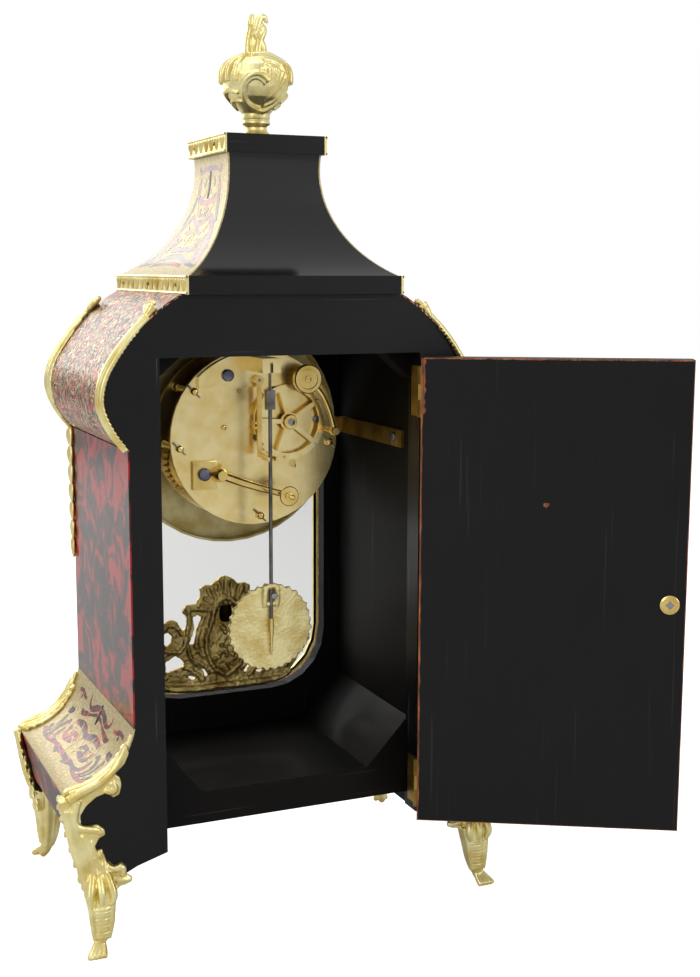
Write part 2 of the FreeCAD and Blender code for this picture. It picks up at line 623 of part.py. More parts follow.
def build_plates():
    radius = size("plate_radius")
    loops = [faceted(circle(radius, 0, AXIS_Z), 7.5)] + pivot_holes()
    upright_plate("back_plate", loops, PLATE_IN, "plate_thickness")
    upright_plate("front_plate", loops, FRONT_OUT, "plate_thickness")
    pillars = []
    for angle in PILLAR_ANGLES:
        x = size("pillar_circle") * math.cos(math.radians(angle))
        z = AXIS_Z + size("pillar_circle") * math.sin(math.radians(angle))
        middle = (PLATE_IN + FRONT_IN) / 2
        thick = size("pillar_radius")
        post = [rod(x, z, FRONT_IN, PLATE_IN, thick - 0.6, 8),
                rod(x, z, FRONT_IN, FRONT_IN + 3.0, thick, 8),
                rod(x, z, PLATE_IN - 3.0, PLATE_IN, thick, 8)]
        pillars.append(fused(post))
    shaped("plate_pillars", pillars)
    ends = []
    for angle in PILLAR_ANGLES:
        x = size("pillar_circle") * math.cos(math.radians(angle))
        z = AXIS_Z + size("pillar_circle") * math.sin(math.radians(angle))
        tip = rod(x, z, PLATE_REAR, PLATE_REAR + 2.6, 1.9, 10)
        taper = slab(polygon([(x + 2.7, z + 3.7), (x + 3.7, z + 2.7), (x - 2.9, z - 3.5), (x - 3.5, z - 2.9)]),
                     PLATE_REAR + 0.8, PLATE_REAR + 1.8)
        ends.append(fused([tip, taper]))
    return ends


def build_cock():
    """The rear cock: it carries the rear pivot of the pallet arbor and the suspension block."""
    low, high = 272.3, 289.4
    arc_edge = size("plate_radius") - 1.0
    plate = box(-30.0, 32.0, PLATE_REAR, PLATE_REAR + size("cock_thickness"), low, high)
    plate = plate.common(rod(0, AXIS_Z, -5, 10, arc_edge))
    rear = PLATE_REAR + size("cock_thickness")
    block = box(-5.0, 5.0, rear, 27.0, 281.0, 288.5)
    slot = box(-0.8, 0.8, 20.6, 28.0, 280.0, 286.4)
    hole = rod(0, size("swing_height"), PLATE_REAR - 1, rear + 1, 1.0 + size("pivot_clearance"))
    shaped("suspension_cock", [fused([plate, block]).cut(Part.makeCompound([slot, hole]))])


def screw(x, z, y, radius, height, slot_angle):
    """A slotted cheese-head screw's head standing on a plate."""
    head = rod(x, z, y, y + height, radius, 10)
    cut = box(-radius - 1, radius + 1, y + height - 0.7, y + height + 1, -0.4, 0.4)
    cut.rotate(ORIGIN, BACK, slot_angle)
    cut.translate(Vector(x, 0, z))
    return head.cut(cut)


def build_fasteners(pins):
    cock_rear = PLATE_REAR + size("cock_thickness")
    heads = [screw(16.1, 278.7, cock_rear, 3.2, 1.6, 52), screw(29.5, 226.8, PLATE_REAR + 2.2, 3.4, 1.8, 80),
             screw(-35.2, 262.6, PLATE_REAR, 1.9, 1.4, 35)]
    for sign in (-1, 1):
        head = upright_bar(0, 0, 0, 1.4, 3.0, 16)
        head.rotate(ORIGIN, BACK, -90 * sign)
        head.translate(Vector(sign * 68.4, 29.0, AXIS_Z))
        heads.append(head)
    shaped("movement_fasteners", heads + pins)


def build_going_train():
    to_second = heading(BARREL, GOING_SECOND)
    wheel_y = (FRONT_IN + 2.2, FRONT_IN + 4.0)
    drum = arbor(BARREL, wheel_y[1], wheel_y[1] + size("barrel_length"), size("barrel_radius"), 32)
    cap = arbor(BARREL, wheel_y[1] + size("barrel_length"), wheel_y[1] + size("barrel_length") + 1.0, 8.0, 16)
    parts = [gear(BARREL, GREAT_TEETH, GREAT_MODULE, *wheel_y, to_second), drum, cap,
             pivoted(BARREL, SQUARE_REAR, PLATE_REAR - 0.2, 1.8)]
    square = box(-1.4, 1.4, SQUARE_FRONT, SQUARE_REAR, -1.4, 1.4)
    square.translate(Vector(BARREL[0], 0, AXIS_Z + BARREL[1]))
    going = fused(parts + [square])
    shaped("going_barrel", [going])

    pinion_phase = heading(GOING_SECOND, BARREL) + 180.0 / SECOND_PINION
    pinion = gear(GOING_SECOND, SECOND_PINION, GREAT_MODULE, wheel_y[0] - 0.6, wheel_y[1] + 0.6, pinion_phase)
    disc_y = (PLATE_IN - 7.6, PLATE_IN - 6.2)
    to_centre = heading(GOING_SECOND, (0, 0))
    disc = spoked(gear(GOING_SECOND, SECOND_TEETH, SECOND_MODULE, *disc_y, to_centre), GOING_SECOND, 11.8)
    second = fused([pinion, disc, pivoted(GOING_SECOND, FRONT_OUT, PLATE_REAR, 0.9),
                    arbor(GOING_SECOND, FRONT_IN + 0.6, PLATE_IN - 0.6, 1.4, 8)])
    shaped("going_second_wheel", [second])

    centre_phase = heading((0, 0), GOING_SECOND) + 180.0 / CENTRE_PINION
    leaves = gear((0, 0), CENTRE_PINION, SECOND_MODULE, disc_y[0] - 0.8, disc_y[1] + 0.8, centre_phase)
    shaft = arbor((0, 0), -57.6, PLATE_REAR, 1.4, 16)
    shaped("centre_arbor", [fused([leaves, shaft])])


def spoked(disc, centre, reach, spokes=5, hub=3.4, width=1.7, start=20.0):
    """Cross out a wheel: leave a rim, a hub and straight spokes."""
    y0, y1 = disc.BoundBox.YMin - 1, disc.BoundBox.YMax + 1
    opening = arbor(centre, y0, y1, reach, 24).cut(arbor(centre, y0, y1, hub, 12))
    bars = []
    for number in range(spokes):
        bar = box(0, reach + 1, y0, y1, -width / 2, width / 2)
        bar.rotate(ORIGIN, BACK, -start - number * 360.0 / spokes)
        bar.translate(Vector(centre[0], 0, AXIS_Z + centre[1]))
        bars.append(bar)
    return disc.cut(opening.cut(Part.makeCompound(bars)))


def build_strike_train():
    side = (-BARREL[0], BARREL[1])
    wheel_y = (FRONT_IN + 2.2, FRONT_IN + 4.0)
    drum = arbor(side, wheel_y[1], wheel_y[1] + size("barrel_length"), size("barrel_radius"), 32)
    cap = arbor(side, wheel_y[1] + size("barrel_length"), wheel_y[1] + size("barrel_length") + 1.0, 8.0, 16)
    square = box(-1.4, 1.4, SQUARE_FRONT, SQUARE_REAR, -1.4, 1.4)
    square.translate(Vector(side[0], 0, AXIS_Z + side[1]))
    barrel = fused([gear(side, GREAT_TEETH, GREAT_MODULE, *wheel_y, heading(side, STRIKE_SECOND)), drum,
                    cap, pivoted(side, SQUARE_REAR, PLATE_REAR - 0.2, 1.8), square])
    shaped("strike_barrel", [barrel])
    pinion_phase = heading(STRIKE_SECOND, side) + 180.0 / SECOND_PINION
    disc_y = (PLATE_IN - 7.6, PLATE_IN - 6.2)
    pinion = gear(STRIKE_SECOND, SECOND_PINION, GREAT_MODULE, wheel_y[0] - 0.6, wheel_y[1] + 0.6,
                  pinion_phase)
    disc = spoked(gear(STRIKE_SECOND, SECOND_TEETH, SECOND_MODULE, *disc_y, 0.0), STRIKE_SECOND, 11.8)
    second = fused([pinion, disc, pivoted(STRIKE_SECOND, FRONT_OUT, COUNT_Y[0], 1.6)])
    shaped("strike_second_wheel", [second])

    # The count wheel's notches stand one, two, three ... twelve blows apart, with a half hour each.
    rim, centre = size("count_radius"), STRIKE_SECOND
    disc = spoked(arbor(centre, *COUNT_Y, rim, 40), centre, rim - 3.0, hub=5.0, width=2.4, start=3.0)
    blows, notches = 0, []
    for hour in range(1, 13):
        blows += hour + 1
        angle = 360.0 * blows / 90
        notch = box(rim - 1.6, rim + 1, COUNT_Y[0] - 1, COUNT_Y[1] + 1, -0.7, 0.7)
        notch.rotate(ORIGIN, BACK, angle)
        notch.translate(Vector(centre[0], 0, AXIS_Z + centre[1]))
        notches.append(notch)
    hub = arbor(centre, COUNT_Y[0], COUNT_Y[1] + 2.4, 3.6, 16)
    count = fused([disc.cut(Part.makeCompound(notches)), hub])
    shaped("count_wheel", [count])


COUNT_Y = (4.5, 5.8)


def build_escapement():
    teeth, tip, root = 20, 8.6, 6.6
    points = []
    for number in range(teeth):
        angle = 2 * math.pi * number / teeth
        for radius, turn in ((root, 0.0), (tip, 0.16), (root, 0.12)):
            points.append((radius * math.cos(angle + turn), AXIS_Z + ESCAPE[1] + radius * math.sin(angle + turn)))
    y0, y1 = -18.6, -17.4
    wheel = spoked(slab(polygon(points), y0, y1), ESCAPE, 5.2, spokes=4, hub=2.2, width=1.2)
    shaped("escape_wheel", [fused([wheel, pivoted(ESCAPE, FRONT_OUT, PLATE_REAR, 0.8)])])
    top = SWING[1] + AXIS_Z
    anchor = slab(faceted(edges((-3.0, top), ((0, top + 3.0), (3.0, top)), ((9.0, top - 3.0), (11.6, top - 11.0)),
                        (9.6, top - 10.0), ((7.0, top - 5.0), (0, top - 4.0)),
                        ((-7.0, top - 5.0), (-9.6, top - 10.0)), (-11.6, top - 11.0),
                        ((-9.0, top - 3.0), (-3.0, top))), 24.0), y0, y1)
    shaft = rod(0, top, FRONT_OUT, 8.6, 1.0, 10)
    shaped("pallets", [fused([anchor, shaft])])
    hub = rod(0, top, 4.4, 8.6, 2.6, 12)
    blade = box(-1.2, 1.2, 7.4, 8.6, 236.0, top)
    foot = box(-1.2, 1.2, 7.4, 19.6, 235.4, 237.4)
    yoke = box(-2.9, 2.9, 18.6, 20.0, 235.4, 237.4)
    prongs = [box(1.6, 2.9, 19.0, 28.0, 235.4, 237.4), box(-2.9, -1.6, 19.0, 28.0, 235.4, 237.4)]
    crutch = fused([hub, blade, foot, yoke] + prongs).cut(rod(0, top, 0, 10, 1.0, 10))
    shaped("crutch", [crutch])


def build_pendulum():
    pivot, plane, thin = size("swing_height"), size("rod_plane"), size("rod_radius")
    spring = box(-0.2, 0.2, 22.4, 26.0, pivot - 4.0, pivot + 9.0)
    chop = box(-2.4, 2.4, 22.6, 25.8, pivot - 14.0, pivot - 4.0)
    stem = tapered([(136.0, 0, plane, 0.2, 12, 0.0), (142.0, 0, plane, thin, 12, 0.0),
                    (pivot - 13.0, 0, plane, thin, 12, 0.0)])
    shaped("pendulum_rod", [fused([spring, chop, stem])])

    # The bob is a disc whose rim is cut into a sunburst of small rays.
    centre, radius = size("bob_height"), size("bob_radius")
    rays, points = 32, []
    for number in range(2 * rays):
        angle = math.pi * number / rays
        reach = radius if number % 2 else radius - 1.5
        points.append((reach * math.cos(angle), centre + reach * math.sin(angle)))
    rear = plane - thin + 0.3
    disc = slab(polygon(points), rear - size("bob_thickness"), rear)
    dome = rod(0, centre, rear - size("bob_thickness") - 1.4, rear - size("bob_thickness"), 15.0, 24)
    clamp = box(-4.4, 4.4, rear, rear + 4.2, 158.0, 169.6)
    bob = fused([disc, dome, clamp])
    bore = upright_bar(0, plane, 130, 190, thin + 0.05, 12)
    shaped("pendulum_bob", [bob.cut(bore)])


def build_bell_stand():
    rear = PLATE_REAR
    base = box(22.9, 35.4, rear, rear + 2.2, 218.9, 233.5)
    block = box(19.0, 24.0, rear, 11.0, 221.0, 232.0)
    start, end = Vector(21.5, 8.0, 226.5), Vector(-9.6, 16.0, 216.0)
    axis = end - start
    arm = tapered([(0, 0, 0, 2.5, 8, 0.0), (axis.Length, 0, 0, 1.7, 8, 0.0)])
    arm.Placement = Placement(start, Rotation(UP, axis))
    seat = tapered([(0, 0, 0, 2.2, 12, 0.0), (3.0, 0, 0, 2.2, 12, 0.0), (6.0, 0, 0, 5.3, 12, 0.0)])
    seat.Placement = Placement(Vector(-11.9, 14.0, 215.2), Rotation(UP, BACK))
    face = rod(-11.9, 215.2, 20.0, 21.0, 5.3, 12)
    stud = rod(-11.9, 215.2, 21.0, 26.0, 1.5)
    shaped("bell_stand", [fused([base, block, arm, seat, face, stud])])


def build_hammer():
    head_x, head_z = -24.7, 276.4
    pivot = (HAMMER_PIVOT[0], AXIS_Z + HAMMER_PIVOT[1])
    head = rod(head_x, head_z, 12.0, 16.4, 7.7, 16).cut(rod(head_x, head_z, 15.8, 17.0, 5.2, 12))
    button = rod(head_x, head_z, 13.0, 16.2, 1.6, 10)
    arm = slab(polygon([(pivot[0] - 1.2, pivot[1]), (-33.0, 268.0), (-29.0, 271.0), (-28.0, 268.0),
                        (-31.2, 262.0), (pivot[0] + 1.2, pivot[1])]), 13.2, 15.2)
    boss = rod(pivot[0], pivot[1], 11.0, 16.6, 2.4, 12)
    shaft = pivoted(HAMMER_PIVOT, FRONT_OUT, 12.0, 1.3)
    shaped("hammer", [fused([head, button, arm, boss, shaft])])


def build_straps():
    rim_rear = size("dial_front") + size("dial_depth")
    low, high = AXIS_Z - 4.6, AXIS_Z + 4.6
    bar = box(68.4, 70.0, rim_rear, 38.7, low, high)
    lug = box(62.6, 68.6, rim_rear, rim_rear + 1.4, low, high)
    strap = fused([bar, lug])
    shaped("movement_straps", [strap, flipped_x(strap)])


def hand(label, length, y0, tail, time_angle, eye):
    """A pierced hand of the given length, pointing at time_angle clockwise from twelve."""
    outline = edges((-1.2, -tail), (1.2, -tail), (1.6, 0.0), (1.0, length * 0.45),
                    ((eye, length * 0.6), (0.9, length * 0.75)), (0.3, length), (-0.3, length),
                    (-0.9, length * 0.75), ((-eye, length * 0.6), (-1.0, length * 0.45)),
                    (-1.6, 0.0), (-1.2, -tail))
    blade = slab(faceted(outline, 24.0), y0, y0 + 0.8)
    eye_hole = rod(0, length * 0.6, y0 - 1, y0 + 2, eye - 1.6, 8)
    blade = blade.cut(eye_hole)
    blade.rotate(ORIGIN, BACK, time_angle)
    blade.translate(Vector(0, 0, AXIS_Z))
    return blade


def build_hands():
    minute = hand("minute_hand", 47.0, -56.6, 9.0, 60.0, 3.4)
    collet = rod(0, AXIS_Z, -57.2, -55.2, 3.4, 16)
    bore = rod(0, AXIS_Z, -60, -40, 1.4, 16)
    shaped("minute_hand", [fused([minute, collet]).cut(bore)])
    hour = hand("hour_hand", 32.0, -54.4, 0.5, 305.0, 4.2)
    pipe = rod(0, AXIS_Z, -54.8, -46.0, 3.2, 16)
    shaped("hour_hand", [fused([hour, pipe]).cut(rod(0, AXIS_Z, -60, -40, 1.46))])


# ---------------------------------------------------------------- back door
LEAF, HINGE_TALL, HINGE_LOWS = 1.2, 26.0, (50.0, 259.0)
DOOR_AXIS = Vector(-size("opening_half_width") - 0.0, HALF_D + 2.2, 0)
LATCH_X, LATCH_Z = 58.3, 167.0
TONGUE_Y = (52.6, 55.4)
SWING_OPEN = Placement(ORIGIN, Rotation(UP, size("door_open_angle")), DOOR_AXIS)


def stand_open(thing):
    """Swing a sub-part that was drawn with the door shut to where it stands at rest."""
    thing.Placement = SWING_OPEN.multiply(thing.Placement)


def build_back_door():
    x0 = -size("opening_half_width") + size("door_gap")
    x1 = x0 + size("back_door_width")
    low, high = size("back_door_bottom"), size("back_door_bottom") + size("back_door_height")
    y0 = HALF_D - size("door_thickness")
    panel = box(x0, x1, y0, HALF_D, low, high)
    cuts = [box(x0 - 1, x0 + LEAF, y0 + 1.0, HALF_D + 1, z, z + HINGE_TALL) for z in HINGE_LOWS]
    cuts.append(box(LATCH_X - 5.0, x1 + 1, TONGUE_Y[0] - 0.4, TONGUE_Y[1] + 0.4,
                    LATCH_Z - 16.6, LATCH_Z + 5.0))
    cuts.append(rod(LATCH_X, LATCH_Z, y0 - 1, HALF_D + 1, 2.56))
    door = shaped("back_door", [panel.cut(Part.makeCompound(cuts))])
    stand_open(door)

    fixed, moving = [], []
    for z in HINGE_LOWS:
        post_x = -size("opening_half_width")
        leaf = box(post_x - LEAF, post_x, y0 + 2.0, DOOR_AXIS.y, z, z + HINGE_TALL)
        third = HINGE_TALL / 3
        leaf = leaf.cut(box(post_x - 5, post_x + 5, HALF_D - 0.6, DOOR_AXIS.y + 5,
                            z + third - 0.1, z + 2 * third + 0.1))
        leaf = leaf.cut(Part.makeCylinder(size("hinge_pin"), HINGE_TALL, Vector(DOOR_AXIS.x, DOOR_AXIS.y, z)))
        fixed.append(fused([leaf] + knuckles(DOOR_AXIS.x, DOOR_AXIS.y, z, HINGE_TALL,
                                             size("knuckle_radius"), size("hinge_pin"), True)))
        plate = box(x0, x0 + LEAF, y0 + 1.0, HALF_D - 0.5, z, z + HINGE_TALL)
        arm = box(x0, x0 + LEAF, HALF_D - 1, DOOR_AXIS.y + 0.6, z + third + 0.2, z + 2 * third - 0.2)
        bore = Part.makeCylinder(size("hinge_pin") + 0.06, HINGE_TALL, Vector(DOOR_AXIS.x, DOOR_AXIS.y, z))
        moving.append(fused([plate, arm.cut(bore)] + knuckles(
            DOOR_AXIS.x, DOOR_AXIS.y, z, HINGE_TALL, size("knuckle_radius"), size("hinge_pin"), False)))
    shaped("hinge_leaves_post", fixed)
    stand_open(shaped("hinge_leaves_door", moving))

    shank = rod(LATCH_X, LATCH_Z, y0 - 1.4, HALF_D + 3.0, 2.5, 10)
    shank = fused([shank.cut(box(40, 80, y0 - 3, y0 - 0.9, 150, 190)),
                   box(LATCH_X - 1.5, LATCH_X + 1.5, y0 - 2.4, y0, LATCH_Z - 1.5, LATCH_Z + 1.5)])
    knob = tapered([(0, 0, 0, 4.6, 12, 0.0), (4.0, 0, 0, 6.2, 12, 0.0)])
    knob.Placement = Placement(Vector(LATCH_X, HALF_D + 2.6, LATCH_Z), Rotation(UP, BACK))
    rose = rod(LATCH_X, LATCH_Z, HALF_D + 0.3, HALF_D + 1.2, 6.5, 12)
    washer = rod(LATCH_X, LATCH_Z, y0 - 0.9, y0 - 0.3, 4.8, 12)
    tongue = box(LATCH_X - 3.4, LATCH_X + 3.4, TONGUE_Y[0], TONGUE_Y[1], LATCH_Z - 14.6, LATCH_Z)
    nose = rod(LATCH_X, LATCH_Z, TONGUE_Y[0], TONGUE_Y[1], 3.4, 12)
    stand_open(shaped("door_latch", [fused([shank, knob, rose, washer, tongue, nose])]))


def main():
    build_case()
    build_front()
    build_veneers()
    build_roof()
    build_finial()
    build_feet()
    build_corner_mounts()
    build_window_mount()
    build_front_door()
    build_dial()
    pins = build_plates()
    build_cock()
    build_fasteners(pins)
    build_going_train()
    build_strike_train()
    build_escapement()
    build_pendulum()
    build_bell_stand()
    build_hammer()
    build_straps()
    build_hands()
    build_back_door()
    doc.recompute()
    write_parts()


def write_parts():
    """Check every object and shape, then write one STEP file per node."""
    broken = [item.Name for item in doc.Objects if "Invalid" in item.State or "Error" in item.State]
    for label, thing in nodes.items():
        shape = thing.Shape
        if shape.isNull() or not shape.isValid() or not shape.Solids or shape.Volume <= 0:
            broken.append(label)
    if broken:
        raise RuntimeError("these failed: " + ", ".join(broken))
    os.makedirs("parts", exist_ok=True)
    for label, thing in nodes.items():
        thing.Shape.exportStep("parts/" + label + ".step")
    print(len(nodes), "nodes")


main()
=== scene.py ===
"""A waisted bracket clock with a pagoda roof, seen from behind with its back door open.

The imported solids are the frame. Wood, plates, wheels and glass keep their solids and get their
finishes here. The gilt castings, the inlay, the screws, the dial's figures and the worn edges
are modelled here, and each stands on the solid that carries it.
"""
import math
import random

import bpy
from mathutils import Matrix, Vector, noise


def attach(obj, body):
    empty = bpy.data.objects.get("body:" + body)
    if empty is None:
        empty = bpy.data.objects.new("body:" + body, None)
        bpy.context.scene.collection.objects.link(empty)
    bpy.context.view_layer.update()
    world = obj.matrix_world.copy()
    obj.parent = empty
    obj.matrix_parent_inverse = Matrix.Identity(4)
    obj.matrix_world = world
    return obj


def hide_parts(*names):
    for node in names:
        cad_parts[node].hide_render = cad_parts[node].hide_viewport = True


MM = 0.001
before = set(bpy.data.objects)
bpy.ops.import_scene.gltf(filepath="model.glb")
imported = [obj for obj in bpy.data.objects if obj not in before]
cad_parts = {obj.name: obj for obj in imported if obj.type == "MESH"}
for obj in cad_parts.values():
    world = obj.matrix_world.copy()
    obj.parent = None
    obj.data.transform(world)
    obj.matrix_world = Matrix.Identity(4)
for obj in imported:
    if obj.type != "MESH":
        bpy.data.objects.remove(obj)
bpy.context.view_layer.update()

# Places that the solids give, in millimetres
HALF_D = 59.5                      # half the case's depth, to its bare back and front planes
AXIS_Z = 245.0                     # height of the dial's centre
PLATE_REAR = 1.3                   # the movement's back plate, rear face
VENEER = 0.8                       # thickness of the shell and brass sheets
ROOF_Y = 5.95                      # the roof's and the finial's middle, behind the case's middle
COUNT_WHEEL = (-18.0, 0, 253.14)   # arbors along Y
HAMMER_ARBOR = (-40.5, 0, 248.0)
LATCH = (58.3, 0, 167.0)           # with the back door shut
DOOR_HINGE = (-68.8, 61.7, 0)
DOOR_OPEN = 150.5                  # degrees from shut to where the door stands at rest


# ---------------------------------------------------------------- camera, light and floor
def set_camera():
    """The photograph's view: behind the clock, a little to its right and above the middle."""
    # fitted to the case in the photograph, in metres and degrees
    bpy.ops.object.camera_add(location=(0.25555, 0.71396, 0.33419))
    camera = bpy.context.object
    yaw, pitch, roll = math.radians(23.5658), math.radians(8.7863), math.radians(0.1697)
    aim = Vector((-math.sin(yaw) * math.cos(pitch), -math.cos(yaw) * math.cos(pitch), -math.sin(pitch)))
    turn = aim.to_track_quat("-Z", "Y").to_matrix() @ Matrix.Rotation(roll, 3, "Z")
    camera.rotation_euler = turn.to_euler()
    camera.data.lens = 52.39
    camera.data.sensor_width = 36.0
    camera.data.clip_start = 0.01
    bpy.context.scene.camera = camera


def add_lamp(name, place, aim, width, height, power):
    bpy.ops.object.light_add(type="AREA", location=place)
    lamp = bpy.context.object
    lamp.name = name
    lamp.data.shape = "RECTANGLE"
    lamp.data.size, lamp.data.size_y = width, height
    lamp.data.energy = power
    lamp.rotation_euler = (Vector(aim) - Vector(place)).to_track_quat("-Z", "Y").to_euler()


def linear(code):
    """A hex sRGB colour as linear RGBA."""
    parts = [int(code[place:place + 2], 16) / 255 for place in (1, 3, 5)]
    return [c / 12.92 if c <= 0.04045 else ((c + 0.055) / 1.055) ** 2.4 for c in parts] + [1.0]


def wire(tree, made, values):
    """Sets a node's sockets: a value that is a socket is linked to it, and any other is set."""
    for name, value in values.items():
        if isinstance(value, bpy.types.NodeSocket):
            tree.links.new(value, made.inputs[name])
        else:
            made.inputs[name].default_value = value


def node(tree, kind, values=None, **settings):
    made = tree.nodes.new("ShaderNode" + kind)
    for name, value in settings.items():
        setattr(made, name, value)
    wire(tree, made, values or {})
    return made


def reckon(tree, operation, *values):
    """The answer of a Math node."""
    return node(tree, "Math", dict(enumerate(values)), operation=operation).outputs[0]


def lumps(tree, place, scale, detail, rough=0.5, warp=0.0, output="Fac"):
    """A noise with about scale lumps to the metre."""
    return node(tree, "TexNoise", {"Vector": place, "Scale": scale, "Detail": detail,
                                   "Roughness": rough, "Distortion": warp}).outputs[output]


def stretched(tree, place, scale):
    return node(tree, "Mapping", {"Vector": place, "Scale": scale}).outputs[0]


def ramp(tree, value, *stops):
    """A colour ramp, from stops of a place and a hex colour."""
    made = node(tree, "ValToRGB", {"Fac": value})
    elements = made.color_ramp.elements
    for number, (place, colour) in enumerate(stops):
        stop = elements[number] if number < 2 else elements.new(place)
        stop.position, stop.color = place, linear(colour)
    return made.outputs[0]


def mixed(tree, share, first, second):
    return node(tree, "MixRGB", {"Fac": share, "Color1": first, "Color2": second}).outputs[0]


def spread_over(tree, value, low, high):
    return node(tree, "MapRange", {"Value": value, "To Min": low, "To Max": high}).outputs[0]


def bump(tree, height, strength, distance):
    return node(tree, "Bump", {"Height": height, "Strength": strength, "Distance": distance}).outputs[0]


def new_material(name):
    material = bpy.data.materials.new(name)
    material.use_nodes = True
    tree = material.node_tree
    return material, tree, tree.nodes["Principled BSDF"], node(tree, "TexCoord").outputs["Object"]


def set_studio():
    """Soft lamps around the clock, a white surround, and a white floor that keeps the shadow."""
    add_lamp("key", (1.5, 1.1, 1.0), (0, 0, 0.24), 0.9, 1.1, 7.5)
    add_lamp("fill", (-1.3, 1.5, 0.9), (0, 0, 0.22), 0.7, 0.9, 7)
    add_lamp("front_fill", (0.5, -1.6, 0.9), (0, 0, 0.24), 1.2, 1.0, 10)
    add_lamp("top", (0.2, 0.1, 1.6), (0, 0, 0.2), 0.8, 0.8, 5)
    world = bpy.data.worlds.new("white_room")
    bpy.context.scene.world = world
    world.use_nodes = True
    tree = world.node_tree
    path = node(tree, "LightPath").outputs
    in_mirrors, on_dull = 0.62, 0.36   # how bright the surround is, beside 1 where it is seen
    seen = reckon(tree, "MAXIMUM", path["Is Camera Ray"], path["Is Transmission Ray"])
    level = reckon(tree, "MAXIMUM", seen, reckon(tree, "MULTIPLY", path["Is Glossy Ray"], in_mirrors))
    wire(tree, tree.nodes["Background"], {"Strength": reckon(tree, "MAXIMUM", level, on_dull),
                                          "Color": (1, 1, 1, 1)})

    bpy.ops.mesh.primitive_plane_add(size=8.0, location=(0, 0, 0))
    floor = bpy.context.object
    floor.name = "floor"
    material, tree, shader, _ = new_material("white_paper_sweep")
    glow = reckon(tree, "MULTIPLY", node(tree, "LightPath").outputs["Is Camera Ray"], 0.8)
    wire(tree, shader, {"Base Color": linear("#F4F4F2"), "Roughness": 0.9,
                        "Emission Color": (1, 1, 1, 1), "Emission Strength": glow})
    floor.data.materials.append(material)
    bpy.context.scene.view_settings.view_transform = "Standard"


# ---------------------------------------------------------------- finishes
def black_wood(name, grain, dark, light, rough, coat, wear=0.0, shine=0.25):
    """Close-grained wood stained black and waxed: fine pores along the grain, a satin sheen."""
    material, tree, shader, place = new_material(name)
    stretch = [1.0, 1.0, 1.0]
    stretch["XYZ".index(grain)] = 0.03
    # pores 0.7 mm apart, drawn about twice as wide as real ones so that they show
    pores = lumps(tree, stretched(tree, place, stretch), 1400.0, 3.0, 0.6)
    clouds = lumps(tree, place, 28.0, 4.0)
    tone = node(tree, "Mix", {0: 0.45, "A": pores, "B": clouds}, data_type="FLOAT").outputs[0]
    colour = ramp(tree, tone, (0.3, dark), (0.72, light))
    if wear:
        # hairline rubs along the grain, where the stain has gone grey
        hairs = lumps(tree, stretched(tree, place, [0.02 + 0.98 * s ** 2 for s in stretch]), 620.0, 1.0)
        rub = ramp(tree, hairs, (0.70, "#000000"), (0.78, "#FFFFFF"))
        colour = mixed(tree, reckon(tree, "MULTIPLY", rub, wear), colour, linear("#6E6A66"))
    wire(tree, shader, {"Base Color": colour, "Roughness": spread_over(tree, tone, rough - 0.06,
                                                                       rough + 0.12),
                        "Normal": bump(tree, pores, 0.35, 0.00012), "Specular IOR Level": shine,
                        "Coat Weight": coat, "Coat Roughness": 0.12})
    return material


def raw_wood():
    """Bare mahogany at a worn edge: orange brown with darker pores."""
    material, tree, shader, place = new_material("bare_mahogany_edge")
    pores = lumps(tree, stretched(tree, place, (1.0, 1.0, 0.05)), 900.0, 4.0, output="Color")
    blotch = lumps(tree, place, 120.0, 3.0, output="Color")
    colour = ramp(tree, mixed(tree, 0.5, pores, blotch), (0.36, "#20120B"), (0.50, "#8A4A22"),
                  (0.64, "#C07A3E"))
    wire(tree, shader, {"Base Color": colour, "Roughness": 0.6})
    return material


def shell_colours(tree, place, patch, deep="#14060A", clear="#C02420"):
    """Red-backed turtle shell: clear red with brown-black clouds, about patch of them to the metre."""
    swirl = node(tree, "Mapping", {"Vector": place, "Rotation": (0.3, 0.7, 0.2)}).outputs[0]
    patches = lumps(tree, swirl, patch, 3.5, 0.55, 0.9)
    return ramp(tree, patches, (0.40, deep), (0.50, "#560C10"), (0.58, clear))


def turtle_shell(name, patch=62.0, deep="#14060A", clear="#B01C1C"):
    """Polished shell over red lacquer: deep colour under a clear glossy face."""
    material, tree, shader, place = new_material(name)
    wave = lumps(tree, place, 30.0, 2.0)
    wire(tree, shader, {"Base Color": shell_colours(tree, place, patch, deep, clear),
                        "Normal": bump(tree, wave, 0.25, 0.0004), "Specular IOR Level": 0.3,
                        "Roughness": 0.28, "Coat Weight": 0.25, "Coat Roughness": 0.05})
    return material


